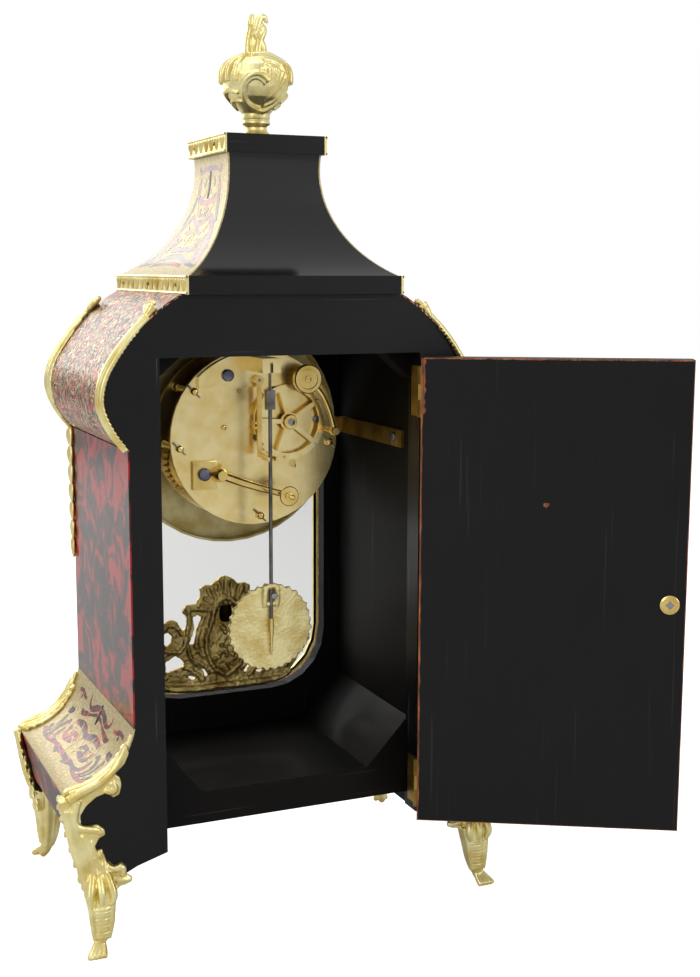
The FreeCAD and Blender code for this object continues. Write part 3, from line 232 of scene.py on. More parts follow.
def inlay_ground(name, scroll_mm=None, shell_below=0.0):
    """Sheet brass let into shell.

    Where scroll_mm is given, the level lines of a noise draw fine scrolls. They are the same on
    both sides of the middle, so that the work is paired as sawn work is. Elsewhere the sheet is
    plain shell below a height in metres."""
    material, tree, shader, place = new_material(name)
    brass = ramp(tree, lumps(tree, place, 700.0, 2.0), (0.3, "#AE9A68"), (0.7, "#D8C898"))
    split = node(tree, "SeparateXYZ", {"Vector": place}).outputs
    shell = shell_colours(tree, place, 170.0 if scroll_mm else 62.0)
    if scroll_mm:
        folded = node(tree, "CombineXYZ", {"X": reckon(tree, "ABSOLUTE", split["X"]),
                                           "Y": reckon(tree, "ABSOLUTE", split["Y"]), "Z": split["Z"]})
        field = lumps(tree, folded.outputs[0], 1000.0 / scroll_mm, 1.0, warp=2.2)
        lines = reckon(tree, "PINGPONG", reckon(tree, "MULTIPLY", field, 7.0), 0.5)
        share = ramp(tree, lines, (0.15, "#000000"), (0.19, "#FFFFFF"))
    else:
        share = reckon(tree, "LESS_THAN", split["Z"], shell_below)
    wire(tree, shader, {"Base Color": mixed(tree, share, brass, shell),
                        "Metallic": reckon(tree, "MULTIPLY_ADD", share, -0.45, 0.45),
                        "Specular IOR Level": 0.3, "Roughness": 0.42, "Coat Weight": 0.1,
                        "Coat Roughness": 0.08})
    return material


def metal(name, light, dark, rough, grain_mm, depth, stretch=(1, 1, 1), spread=0.1):
    """A metal with cloudy tone and a fine surface grain that a tool or a mould left."""
    material, tree, shader, place = new_material(name)
    clouds = lumps(tree, place, 90.0, 4.0)
    grain = lumps(tree, stretched(tree, place, stretch), 1000.0 / grain_mm, 3.0)
    wire(tree, shader, {"Base Color": ramp(tree, clouds, (0.32, dark), (0.62, light)),
                        "Roughness": spread_over(tree, grain, rough - spread / 2, rough + spread),
                        "Normal": bump(tree, grain, 0.5, depth * MM), "Metallic": 1.0})
    return material


def clear_glass():
    """Thin drawn glass: clear, with a faint ripple."""
    material, tree, shader, place = new_material("drawn_window_glass")
    wire(tree, shader, {"Normal": bump(tree, lumps(tree, place, 25.0, 1.0), 0.1, 0.0003),
                        "Base Color": (1.0, 1.0, 1.0, 1.0), "Transmission Weight": 1.0,
                        "Roughness": 0.02, "IOR": 1.0})
    return material


def enamel():
    """Fired white enamel on copper: warm white, glossy, faintly uneven."""
    material, tree, shader, place = new_material("fired_white_enamel")
    colour = ramp(tree, lumps(tree, place, 400.0, 4.0), (0.3, "#E6E3D8"), (0.6, "#F4F2EA"))
    wire(tree, shader, {"Base Color": colour, "Roughness": 0.15, "Coat Weight": 0.4})
    return material


FINISH = {
    "upright_wood": black_wood("ebonised_upright_wood", "Z", "#020203", "#0C0C10", 0.34, 0.10, 0.5),
    "level_wood": black_wood("ebonised_level_wood", "X", "#020203", "#0C0C10", 0.34, 0.10, 0.2),
    "door_wood": black_wood("ebonised_door", "Z", "#020203", "#0A0B0F", 0.42, 0.04, 0.10),
    "inner_wood": black_wood("stained_inside_wood", "Z", "#040303", "#120E0C", 0.55, 0.03, 0.2, 0.12),
    "floor_wood": black_wood("stained_floor_wood", "X", "#040303", "#0F0C0A", 0.55, 0.03, 0.1, 0.12),
    "roof_wood": black_wood("black_lacquered_roof", "X", "#020203", "#07080B", 0.14, 0.85),
    "raw_wood": raw_wood(),
    "shell": turtle_shell("polished_red_turtle_shell"),
    "shell_inlay": turtle_shell("red_shell_inlay", 160.0, "#4A1018", "#D0342C"),
    "shell_dark": turtle_shell("dark_shell_inlay", 160.0, "#0B0709", "#3A1016"),
    "brass_ground": inlay_ground("sheet_brass_ground"),
    "skirt_ground": inlay_ground("sheet_brass_over_shell", shell_below=0.0797),
    "scroll_ground": inlay_ground("sawn_brass_and_shell", 15.0),
    "gilt": metal("burnished_gilt_bronze", "#FBF0B4", "#E3CC7C", 0.36, 0.9, 0.12),
    "gilt_matt": metal("matted_gilt_bronze", "#F8ECB4", "#DCC47A", 0.50, 0.45, 0.16),
    # a darker, duller gilt for the window cartouche
    "gilt_dull": metal("darker_dull_gilt_bronze", "#E6D08C", "#A08446", 0.46, 0.8, 0.3),
    "plate_brass": metal("grained_plate_brass", "#FDEAAE", "#F0D488", 0.22, 0.35, 0.02,
                         (1.0, 1.0, 0.06), 0.08),
    "turned_brass": metal("turned_brass", "#F2D88E", "#D9B560", 0.20, 0.5, 0.02),
    # dark brass that is painted shadow, for the hollow of the window cartouche's niche
    "painted_shadow_brass": metal("brass_in_shadow", "#3A2C12", "#120D05", 0.6, 0.6, 0.05),
    "dull_brass": metal("aged_brass", "#B8954C", "#7A5F2E", 0.42, 0.6, 0.03),
    "steel": metal("polished_steel", "#A9A9AC", "#77787C", 0.26, 0.4, 0.02),
    "rod_steel": metal("grey_drawn_steel", "#8B8783", "#5A5652", 0.36, 0.4, 0.03, (1, 1, 0.05)),
    "blued": metal("blued_steel", "#3C4254", "#20242F", 0.24, 0.4, 0.01),
    "screw": metal("greyed_blued_steel", "#8A8C9A", "#55576A", 0.28, 0.4, 0.02),
    "ink": metal("blue_black_enamel_figures", "#10131E", "#0A0B12", 0.25, 0.5, 0.005),
    "glass": clear_glass(),
    "enamel": enamel(),
}
# Only the nodes that show: the rest are replaced by the pieces modelled below
NODE_FINISH = {
    "upright_wood": ["rear_post_left", "rear_post_right", "skirt_block_right", "skirt_block_left"],
    "level_wood": ["top_rail", "cornice_board", "roof_cap", "shoulder_block_right",
                   "shoulder_block_left"],
    "door_wood": ["back_door"],
    "inner_wood": ["side_board_right", "side_board_left", "front_panel"],
    "floor_wood": ["floor_board", "glue_blocks"],
    "roof_wood": ["pagoda_roof"],
    "shell": ["side_veneers"],
    "brass_ground": ["roof_veneers"],
    "skirt_ground": ["skirt_veneers"],
    "scroll_ground": ["shoulder_veneers", "front_veneer"],
    "gilt": ["cornice_band", "roof_band", "front_door_frame"],
    "gilt_matt": ["dial_plate"],
    "plate_brass": ["back_plate", "front_plate", "suspension_cock", "going_second_wheel",
                    "strike_second_wheel", "count_wheel", "escape_wheel"],
    "turned_brass": ["crutch", "going_barrel", "strike_barrel", "front_hinges"],
    "dull_brass": ["movement_straps", "hinge_leaves_post", "hinge_leaves_door"],
    "steel": ["pallets", "centre_arbor"],
    "rod_steel": ["pendulum_rod"],
    "blued": ["minute_hand", "hour_hand"],
    "glass": ["front_door_glass"],
    "enamel": ["dial_tablets"],
}


def finish_nodes():
    for finish, names in NODE_FINISH.items():
        for name in names:
            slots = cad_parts[name].data.materials
            slots.clear()
            slots.append(FINISH[finish])


# ---------------------------------------------------------------- working the shapes
def clear_selection():
    if bpy.context.mode != "OBJECT":
        bpy.ops.object.mode_set(mode="OBJECT")
    bpy.ops.object.select_all(action="DESELECT")


def pick(piece):
    clear_selection()
    piece.select_set(True)
    bpy.context.view_layer.objects.active = piece


def apply_modifier(piece, kind, **settings):
    pick(piece)
    bpy.ops.object.modifier_add(type=kind)
    modifier = piece.modifiers[-1]
    for name, value in settings.items():
        setattr(modifier, name, value)
    bpy.ops.object.modifier_apply(modifier=modifier.name)


def place_piece(piece, name, body, finish, nodes=(), angle=40.0):
    """Names a finished piece, gives it its finish, and hangs it on its body."""
    pick(piece)
    piece.name = name
    bpy.ops.object.transform_apply(location=True, rotation=True, scale=True)
    piece.data.materials.clear()
    piece.data.materials.append(FINISH[finish])
    bpy.ops.object.shade_smooth_by_angle(angle=math.radians(angle))
    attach(piece, body)
    if nodes:
        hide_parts(*nodes)
    return piece


def open_for_editing(piece):
    pick(piece)
    bpy.ops.object.mode_set(mode="EDIT")
    bpy.ops.mesh.select_all(action="SELECT")


def face_outwards(piece):
    open_for_editing(piece)
    bpy.ops.mesh.normals_make_consistent(inside=False)
    clear_selection()


def join(pieces):
    pick(pieces[0])
    for piece in pieces:
        piece.select_set(True)
    bpy.ops.object.join()
    return pieces[0]


def copy_of(piece, flip):
    """A copy with its own mesh, mirrored across the case's middle planes where flip is -1."""
    pick(piece)
    bpy.ops.object.duplicate()
    twin = bpy.context.object
    twin.data.transform(Matrix.Diagonal((*flip, 1)))
    if flip[0] * flip[1] * flip[2] < 0:
        open_for_editing(twin)
        bpy.ops.mesh.flip_normals()
        clear_selection()
    return twin


def strands(lines, fine=5, facets=2):
    """Round strands of modelling wax, as one mesh. Each point is x, y, z and radius in millimetres."""
    clear_selection()
    bpy.ops.curve.primitive_nurbs_path_add()
    wax = bpy.context.object
    wax.data.splines.clear()
    for line in lines:
        spline = wax.data.splines.new("NURBS")
        spline.points.add(len(line) - 1)
        for point, (x, y, z, radius) in zip(spline.points, line):
            point.co = (x * MM, y * MM, z * MM, 1.0)
            point.radius = radius
        spline.use_endpoint_u = True
        spline.order_u = min(3, len(line))
    wax.data.bevel_depth = MM
    wax.data.bevel_resolution = facets
    wax.data.resolution_u = fine
    wax.data.use_fill_caps = True
    bpy.ops.object.convert(target="MESH")
    return bpy.context.object


def plate(loops, middle_y, thick, edge=0.5):
    """A flat upright plate of wax from closed loops of x and z in millimetres, edges rounded."""
    clear_selection()
    bpy.ops.curve.primitive_nurbs_path_add()
    wax = bpy.context.object
    wax.data.splines.clear()
    for loop in loops:
        spline = wax.data.splines.new("POLY")
        spline.points.add(len(loop) - 1)
        for point, (x, z) in zip(spline.points, loop):
            point.co = (x * MM, z * MM, 0.0, 1.0)
        spline.use_cyclic_u = True
    wax.data.dimensions = "2D"
    wax.data.fill_mode = "BOTH"
    wax.data.extrude = (thick / 2 - edge) * MM
    wax.data.bevel_depth = edge * MM
    wax.data.bevel_resolution = 1
    bpy.ops.object.convert(target="MESH")
    made = bpy.context.object
    made.data.transform(Matrix.Translation((0, middle_y * MM, 0)) @ Matrix.Rotation(math.pi / 2, 4, "X"))
    return made


ROUND_BACK = 0.25    # millimetres of a strand's height above which it is pressed flat


def lay_inlay(name, strokes, surface, proud, finish):
    """Lays flat strokes on both sides of the case, each repeated across the panel's middle line.

    Strokes are (across, down, half width) in eighths of a millimetre. surface gives the x, y and z
    of a place on the right-hand panel from its across, down and height above the veneer. The
    strands' round backs are pressed flat at a height of proud."""
    lines = [[(side * x / 8, 0.0, z / 8, r / 8) for x, z, r in stroke]
             for stroke in strokes for side in (-1, 1)]
    piece = strands(lines, 4, 1)
    for vertex in piece.data.vertices:
        across, lift, down = vertex.co / MM
        vertex.co = Vector(surface(across, down, proud * math.tanh(lift / ROUND_BACK))) * MM
    face_outwards(piece)
    both = join([piece, copy_of(piece, (-1, 1, 1))])
    return place_piece(both, name, "case", finish)


def cast(wax, grain, rounds=3):
    """Runs loose wax together into one skin with edges worn by the pouring and the chasing."""
    apply_modifier(wax, "REMESH", mode="VOXEL", voxel_size=grain * MM)
    apply_modifier(wax, "SMOOTH", factor=0.5, iterations=rounds)
    return wax


def roughen(piece, reach, grain):
    """Moves a casting's skin in and out by up to reach, with lumps about grain apart, in millimetres."""
    normals = [vertex.normal.copy() for vertex in piece.data.vertices]
    for vertex, normal in zip(piece.data.vertices, normals):
        lump = noise.noise(vertex.co / (grain * MM)) + 0.5 * noise.noise(vertex.co / (0.45 * grain * MM))
        vertex.co += normal * (lump * reach * MM)


def turned(rings, centre, axis="Z", sides=48):
    """A turned solid from rings of (height, radius) in millimetres, drawn out ring by ring."""
    clear_selection()
    height, radius = rings[0]
    bpy.ops.mesh.primitive_circle_add(vertices=sides, radius=radius * MM, fill_type="NGON",
                                      location=(0, 0, height * MM))
    piece = bpy.context.object
    bpy.ops.object.transform_apply(location=True)
    open_for_editing(piece)
    for (low, old), (high, new) in zip(rings, rings[1:]):
        bpy.ops.mesh.extrude_region_move(TRANSFORM_OT_translate={"value": (0, 0, (high - low) * MM)})
        bpy.ops.transform.resize(value=(new / old, new / old, 1.0), center_override=(0, 0, high * MM))
    clear_selection()
    face_outwards(piece)
    lay = {"Z": Matrix.Identity(4), "Y": Matrix.Rotation(math.radians(-90), 4, "X"),
           "X": Matrix.Rotation(math.radians(90), 4, "Y")}[axis]
    piece.data.transform(Matrix.Translation(Vector(centre) * MM) @ lay)
    return piece


def arc(start, middle, end, count):
    """Points along the circle through three points, from the first to the last."""
    (ax, ay), (bx, by), (cx, cy) = start, middle, end
    d = 2 * (ax * (by - cy) + bx * (cy - ay) + cx * (ay - by))
    ux = ((ax**2 + ay**2) * (by - cy) + (bx**2 + by**2) * (cy - ay) + (cx**2 + cy**2) * (ay - by)) / d
    uy = ((ax**2 + ay**2) * (cx - bx) + (bx**2 + by**2) * (ax - cx) + (cx**2 + cy**2) * (bx - ax)) / d
    radius = math.hypot(ax - ux, ay - uy)
    first, second, last = (math.atan2(y - uy, x - ux) for x, y in (start, middle, end))
    span, half = (last - first) % (2 * math.pi), (second - first) % (2 * math.pi)
    if half > span:
        span -= 2 * math.pi
    turns = [first + span * k / count for k in range(count + 1)]
    return [(ux + radius * math.cos(turn), uy + radius * math.sin(turn)) for turn in turns]


class Outline:
    """A stretch of the case's side outline in x and z, walked by its length in millimetres."""

    def __init__(self, points):
        self.points = [Vector(p) for p in points]
        self.runs = [0.0]
        for a, b in zip(self.points, self.points[1:]):
            self.runs.append(self.runs[-1] + (b - a).length)
        self.length = self.runs[-1]

    def at(self, run, out=0.0):
        """The point at a length along the outline, moved out along its normal."""
        run = min(max(run, 0.0), self.length)
        step = next(k for k in range(1, len(self.runs)) if run <= self.runs[k] + 1e-9)
        a, b = self.points[step - 1], self.points[step]
        share = (run - self.runs[step - 1]) / (self.runs[step] - self.runs[step - 1])
        along = (b - a).normalized()
        side = Vector((along.y, -along.x))
        point = a.lerp(b, share) + side * out
        return point.x, point.y


SHOULDER = Outline(arc((96.3, 270.0), (91.0, 258.0), (84.2, 249.1), 6)[::-1]
                   + arc((90.0, 290.0), (94.9, 280.5), (96.3, 270.0), 6)[::-1][1:]
                   + arc((56.6, 321.9), (76.3, 307.2), (90.0, 290.0), 12)[::-1][1:])
FLARE = Outline(arc((84.2, 111.7), (95.6, 90.6), (119.0, 80.6), 14)[::-1])


# ---------------------------------------------------------------- inlay
# Half of each panel's pattern as strokes of (across, down, half width) in eighths of a millimetre
SKIRT_RED = [
    [(0, 66, 22), (58, 66, 20), (106, 88, 17), (146, 95, 11), (172, 82, 9), (186, 58, 8), (180, 42, 7)],
    [(230, 122, 9), (216, 140, 15), (168, 128, 15), (112, 112, 13), (56, 96, 11), (0, 92, 9)],
    [(194, 178, 13), (140, 166, 19), (70, 168, 20), (0, 192, 18)],
    [(196, 206, 16), (202, 240, 17), (174, 262, 16), (116, 258, 18), (56, 246, 13)],
    [(130, 214, 17), (76, 216, 15), (40, 232, 12)],
    [(160, 204, 13), (116, 244, 15)],
    [(242, 232, 9), (252, 264, 15), (242, 292, 14), (196, 308, 13), (120, 304, 12), (56, 302, 11),
     (0, 312, 11)],
    [(390, 300, 10), (342, 320, 12), (272, 326, 12), (206, 318, 11), (146, 304, 10), (98, 322, 12),
     (60, 334, 7)],
    [(380, 72, 11), (340, 60, 11), (304, 68, 14), (270, 80, 10), (240, 80, 8)],
    [(322, 80, 10), (316, 98, 9)],
    [(116, 316, 9), (56, 322, 11), (0, 306, 13)],
    [(262, 196, 10), (240, 212, 9)],
]
SKIRT_DARK = [
    [(0, 38, 11), (0, 70, 17), (0, 112, 15), (0, 130, 5)],
    [(360, 166, 20), (330, 172, 22), (306, 156, 11)],
    [(336, 190, 10), (332, 240, 10), (318, 288, 10), (290, 312, 10)],
    [(258, 198, 13), (288, 222, 12), (304, 258, 11), (298, 292, 11), (262, 308, 10)],
    [(374, 268, 11), (362, 290, 11), (330, 304, 9)],
    [(228, 128, 7), (206, 132, 6)],
    [(30, 178, 8), (0, 186, 12)],
]
SKIRT_BRASS = [
    [(6, 162, 4), (32, 138, 5), (64, 120, 5), (106, 130, 5), (160, 145, 5), (204, 163, 5), (216, 200, 5),
     (218, 228, 5), (208, 242, 4)],
    [(208, 238, 4), (230, 262, 5), (222, 290, 5), (168, 296, 5), (106, 287, 5), (56, 294, 5), (0, 290, 5)],
    [(306, 206, 4), (322, 242, 4), (312, 280, 4), (298, 302, 3)],
    [(262, 222, 4), (286, 250, 4), (280, 288, 4), (260, 310, 3)],
    [(352, 202, 4), (354, 250, 4), (342, 302, 3)],
    [(30, 296, 6), (36, 262, 8), (34, 226, 8), (20, 202, 6)],
    [(40, 228, 6), (64, 205, 5), (94, 182, 5), (106, 158, 4)],
    [(40, 262, 5), (60, 250, 5), (86, 240, 4)],
    [(180, 204, 4), (146, 212, 5), (110, 202, 4), (84, 206, 4)],
    [(146, 210, 4), (160, 234, 4), (168, 256, 3)],
    [(134, 214, 4), (146, 244, 4), (158, 260, 3)],
    [(10, 84, 3), (36, 77, 5), (56, 92, 4), (110, 106, 3), (158, 112, 3), (188, 104, 2)],
]
ROOF_RED = [
    [(0, 52, 13), (60, 49, 11), (112, 56, 11), (146, 66, 11), (160, 54, 9), (150, 42, 8)],
    [(130, 82, 14), (152, 120, 16), (160, 152, 13), (112, 172, 18), (70, 186, 15), (30, 188, 15),
     (0, 192, 15)],
    [(112, 250, 11), (60, 276, 14), (0, 290, 17)],
    [(108, 244, 14), (170, 270, 20), (216, 312, 24), (242, 352, 25), (266, 402, 25), (292, 452, 23),
     (326, 500, 16)],
    [(176, 332, 19), (186, 382, 20), (214, 432, 20), (262, 478, 16)],
    [(92, 330, 12), (40, 318, 12), (0, 302, 12)],
    [(0, 486, 13), (90, 490, 12), (180, 504, 11)],
    [(92, 300, 9), (120, 316, 10)],
]
ROOF_DARK = [
    [(0, 60, 13), (0, 120, 20), (0, 172, 14)],
    [(60, 92, 12), (76, 120, 10)],
    [(56, 214, 13), (42, 248, 11), (0, 262, 11)],
    [(164, 160, 14), (168, 200, 18), (198, 240, 16), (224, 282, 11)],
    [(110, 350, 14), (140, 372, 14), (138, 406, 14), (90, 416, 13), (40, 402, 13), (0, 410, 16)],
    [(0, 442, 14), (80, 450, 14), (160, 470, 14), (250, 496, 12), (330, 506, 9)],
    [(292, 392, 10), (300, 404, 9)],
]
ROOF_BRASS = [
    [(66, 112, 4), (54, 88, 5), (30, 78, 6), (16, 92, 5)],
    [(112, 150, 5), (80, 160, 6), (48, 160, 6), (32, 136, 4)],
    [(126, 110, 4), (136, 140, 5), (132, 180, 5), (100, 210, 5), (80, 240, 6), (40, 262, 6), (0, 258, 6)],
    [(0, 204, 20), (14, 220, 17), (0, 234, 16)],
    [(146, 280, 7), (124, 300, 16), (98, 306, 7)],
    [(124, 290, 7), (120, 322, 5)],
    [(170, 420, 5), (166, 370, 5), (140, 346, 6), (90, 346, 5), (60, 360, 5)],
    [(116, 380, 7), (80, 390, 7), (40, 385, 7), (0, 392, 8)],
    [(12, 306, 11), (14, 350, 11), (30, 382, 7)],
    [(0, 426, 5), (70, 430, 5), (130, 446, 5), (210, 472, 4)],
]
ROOF_SIDE = Outline(arc((24.9, 390.8), (30.85, 356.3), (54.8, 330.8), 20))


def on_skirt(across, down, lift):
    """A place on the skirt's upper panel, 2.2 mm behind the case's middle."""
    x, z = FLARE.at(FLARE.length - down, VENEER + lift)
    return x, 2.2 + across * 0.98, z


def on_roof(across, down, lift):
    """A place on the roof's side panel, which leans back and widens towards its foot."""
    share = down / ROOF_SIDE.length
    x, z = ROOF_SIDE.at(down, -lift)
    return x, ROOF_Y * (1 - share) + across * (0.86 + 0.42 * share * share), z


def make_inlay():
    """Red shell, dark shell over it and brass lines on top, each a little prouder than the last."""
    for panel, surface, red, dark, bright in (("skirt", on_skirt, SKIRT_RED, SKIRT_DARK, SKIRT_BRASS),
                                              ("roof", on_roof, ROOF_RED, ROOF_DARK, ROOF_BRASS)):
        lay_inlay(panel + "_red_shell", red, surface, 0.04, "shell_inlay")
        lay_inlay(panel + "_dark_shell", dark, surface, 0.07, "shell_dark")
        lay_inlay(panel + "_brass_lines", bright, surface, 0.10, "brass_ground")


# ---------------------------------------------------------------- gilt castings
URN = [(412.0, 7.4), (416.0, 10.6), (420.0, 14.4), (425.0, 17.0), (431.0, 17.8), (436.0, 16.4),
       (439.5, 12.4), (441.8, 7.0)]


def on_urn(angle, height, lift):
    """A point on the urn's side."""
    low = max(k for k in range(len(URN) - 1) if URN[k][0] <= height)
    (z0, r0), (z1, r1) = URN[low], URN[low + 1]
    reach = r0 + (r1 - r0) * (height - z0) / (z1 - z0) + lift
    return reach * math.cos(math.radians(angle)), ROOF_Y + reach * math.sin(math.radians(angle)), height


# A twisted flame that leans and curls at its tip
FLAME = [
    [(3.6, 5.6, 440, 2.4), (3.6, 5.0, 447, 2.2), (2.4, 5.4, 453, 2.1), (1.8, 6.4, 458, 1.8),
     (2.6, 6.6, 461.4, 1.1)],
    [(-3.4, 7.0, 440, 2.2), (-3.6, 7.4, 445, 2.3), (-1.2, 8.2, 449, 2.0), (0.6, 7.6, 452.4, 1.8)],
    [(0.2, 9.0, 440, 2.2), (-0.4, 8.4, 447, 2.0), (-3.2, 7.6, 452, 1.9), (-4.8, 6.8, 455, 1.6),
     (-3.0, 6.2, 457, 1.2)],
    [(0.0, 6.0, 454, 2.3), (-1.2, 6.4, 458, 2.2), (-2.8, 6.4, 461, 1.8), (-5.4, 6.2, 460.4, 1.5),
     (-6.0, 6.2, 457.8, 1.0)],
    [(1.6, 2.8, 440, 2.0), (2.4, 3.0, 446, 2.0), (0.2, 3.2, 451, 1.8), (-2.0, 4.4, 455, 1.5)],
    [(0.0, 6.0, 439, 3.4), (0.2, 6.0, 447, 2.8), (0.0, 6.0, 456, 2.0)],
    [(3.0, 7.0, 456, 1.6), (3.4, 6.6, 459.4, 1.5), (1.4, 6.4, 461.4, 1.2)],
]


def urn_strands(half):
    """One half of the urn's relief, turned by half in degrees."""
    lines = []
    # two shells with double rims: a large one and a small one that overlaps it
    for lift, thick, grow in ((0.4, 1.3, 0.0), (-0.2, 0.8, 2.4)):
        big = [(84, 437.5), (104, 438.0), (124, 434.0), (133, 427.0), (134, 420.5), (118, 415.0),
               (92, 412.8)]
        small = [(88, 413.0), (50, 415.0), (42, 420.0), (48, 426.5), (64, 430.6), (80, 430.8), (92, 427.0)]
        for loop, middle in ((big, (100, 426)), (small, (66, 421))):
            line = []
            for angle, height in loop:
                angle += (middle[0] - angle) * grow * 0.09
                height += (middle[1] - height) * grow * 0.09
                line.append((*on_urn(angle + half, max(height, 412.2), lift), thick))
            lines.append(line)
    # ribs that fan out of the large shell's foot
    for k in range(7):
        top = 84 + 7.4 * k
        lines.append([(*on_urn(92 + 2.2 * k + half, 417.0 + 0.6 * k, -0.4), 0.4),
                      (*on_urn((92 + top) / 2 + 2 * k + half, 426.0, -0.3), 1.0),
                      (*on_urn(top + half, 434.0 - 0.35 * (k - 2) ** 2 * 0.5, -0.2), 1.2)])
    # upright leaves on the side, rolled over at their lower ends
    for k in range(5):
        angle = 38 - 17 * k
        lines.append([(*on_urn(angle + 4 + half, 441.0, -0.6), 1.2),
                      (*on_urn(angle + half, 437.0, 0.6), 2.0),
                      (*on_urn(angle - 2 + half, 431.0, 0.4), 1.7),
                      (*on_urn(angle - 3 + half, 427.5, 0.6), 1.2)])
    lines.append([(*on_urn(34 + half, 421.5, 0.2), 0.7), (*on_urn(12 + half, 423.8, 0.9), 1.3),
                  (*on_urn(-10 + half, 422.0, 0.9), 1.3), (*on_urn(-30 + half, 418.0, 0.2), 0.8)])
    lines.append([(*on_urn(36 + half, 417.5, 0.2), 0.7), (*on_urn(12 + half, 419.0, 0.5), 1.1),
                  (*on_urn(-12 + half, 417.2, 0.5), 1.1), (*on_urn(-34 + half, 414.5, 0.2), 0.7)])
    lines.append([(*on_urn(60 + half, 440.2, 0.4), 1.6), (*on_urn(90 + half, 441.0, 1.0), 1.8),
                  (*on_urn(116 + half, 440.4, 1.2), 1.8), (*on_urn(134 + half, 436.6, 1.2), 1.3)])
    return lines


def make_finial():
    """The finial: a turned foot and urn with shells, ribs and leaves on it, and a flame."""
    foot = turned([(400.0, 8.4), (401.0, 8.6), (402.2, 7.2), (404.0, 5.6), (405.6, 5.3), (406.6, 5.8),
                   (407.2, 7.2), (408.4, 7.2), (409.0, 6.6), (409.8, 7.0), (411.6, 7.2), (412.4, 6.9)],
                  (0, ROOF_Y, 0))
    body = turned([(411.8, 6.6)] + [(z, r - 0.6) for z, r in URN] + [(442.4, 4.0)], (0, ROOF_Y, 0))
    lines = urn_strands(0) + urn_strands(180) + FLAME
    piece = cast(join([foot, body, strands(lines)]), 0.45, 2)
    place_piece(piece, "finial_urn", "case", "gilt", ["finial"])

OTHER_CORNERS = {"rear_left": (-1, 1, 1), "front_right": (1, -1, 1), "front_left": (-1, -1, 1)}
# The leg's middle line from the knee to the toe, as height, x, y and radius
LEG = [(46.0, 104.0, 54.0, 8.6), (38.0, 103.6, 57.0, 8.2), (30.0, 103.5, 58.6, 7.2),
       (22.0, 103.6, 60.4, 6.0), (14.0, 104.0, 61.6, 5.2), (8.0, 104.6, 63.0, 3.6),
       (4.6, 105.6, 64.4, 3.2), (1.8, 107.6, 66.0, 2.6)]

# The leaf on the rear face of a foot as x and z: its outline, its hole, and its ribs with radii
LEAF = [(119.0, 81.6), (113.0, 84.6), (104.0, 88.0), (97.0, 93.4), (92.4, 99.6), (89.6, 104.6),
        (88.4, 100.6), (90.6, 95.6), (95.8, 90.8), (93.2, 88.6), (92.4, 84.8), (93.6, 80.6), (96.1, 79.6),
        (100.0, 82.2), (104.9, 80.9), (109.9, 77.1), (113.0, 72.5), (112.7, 66.4), (109.3, 65.9),
        (104.4, 66.1), (101.4, 63.4), (101.0, 61.0), (104.0, 59.8), (106.1, 56.1), (106.6, 52.6),
        (102.7, 53.2), (100.8, 47.0), (97.5, 43.2), (94.9, 43.8), (92.9, 44.6), (90.9, 42.6),
        (91.0, 38.7), (88.1, 36.4), (88.4, 34.9), (90.6, 34.0), (94.1, 33.4), (97.0, 31.0), (108.6, 31.0),
        (112.5, 34.6), (112.4, 40.8), (115.2, 46.9), (117.4, 53.9), (119.4, 64.5), (120.9, 74.7)]
LEAF_HOLE = [(94.6, 38.6), (96.4, 39.8), (97.6, 38.8), (96.2, 37.4)]
LEAF_RIBS = [
    # the rim, its curls, and flutes that follow the leaf down into the leg
    [(118.4, 80.4, 2.2), (110.0, 84.4, 2.0), (102.0, 87.4, 1.8), (96.6, 91.6, 1.5), (92.0, 97.6, 1.2),
     (89.4, 103.4, 0.7)],
    [(100.4, 83.6, 1.7), (96.6, 81.6, 2.1), (95.0, 84.4, 1.9), (97.0, 87.0, 1.4)],
    [(113.6, 80.0, 2.0), (116.4, 72.0, 2.1), (114.6, 66.6, 1.7), (109.0, 64.8, 1.9), (104.4, 64.0, 1.8),
     (102.6, 61.6, 1.3)],
    [(119.2, 76.0, 1.9), (117.8, 64.0, 2.0), (115.0, 53.0, 2.1), (111.6, 42.0, 2.0), (109.4, 33.0, 1.8)],
    [(116.4, 70.0, 1.3), (113.8, 60.0, 1.7), (111.0, 50.0, 1.8), (107.6, 40.0, 1.7), (105.4, 32.0, 1.5)],
    [(112.6, 62.0, 1.2), (109.4, 53.0, 1.6), (106.0, 45.0, 1.6), (102.6, 38.0, 1.5), (101.4, 32.0, 1.3)],
    [(108.4, 58.6, 1.2), (105.4, 51.0, 1.5), (103.4, 49.6, 1.2), (103.0, 52.6, 0.9)],
    [(106.0, 50.0, 1.3), (102.6, 43.6, 1.7), (98.6, 39.8, 1.6), (98.0, 34.6, 1.3)],
    [(99.8, 44.2, 1.5), (96.2, 41.6, 1.7), (93.2, 43.4, 2.1), (91.8, 41.0, 1.9), (93.0, 38.4, 1.5)],
    [(96.0, 36.2, 1.4), (91.6, 36.4, 1.5), (88.8, 35.6, 1.1)],
    [(112.0, 46.4, 1.3), (114.2, 43.0, 1.5), (113.0, 38.0, 1.3)],
]


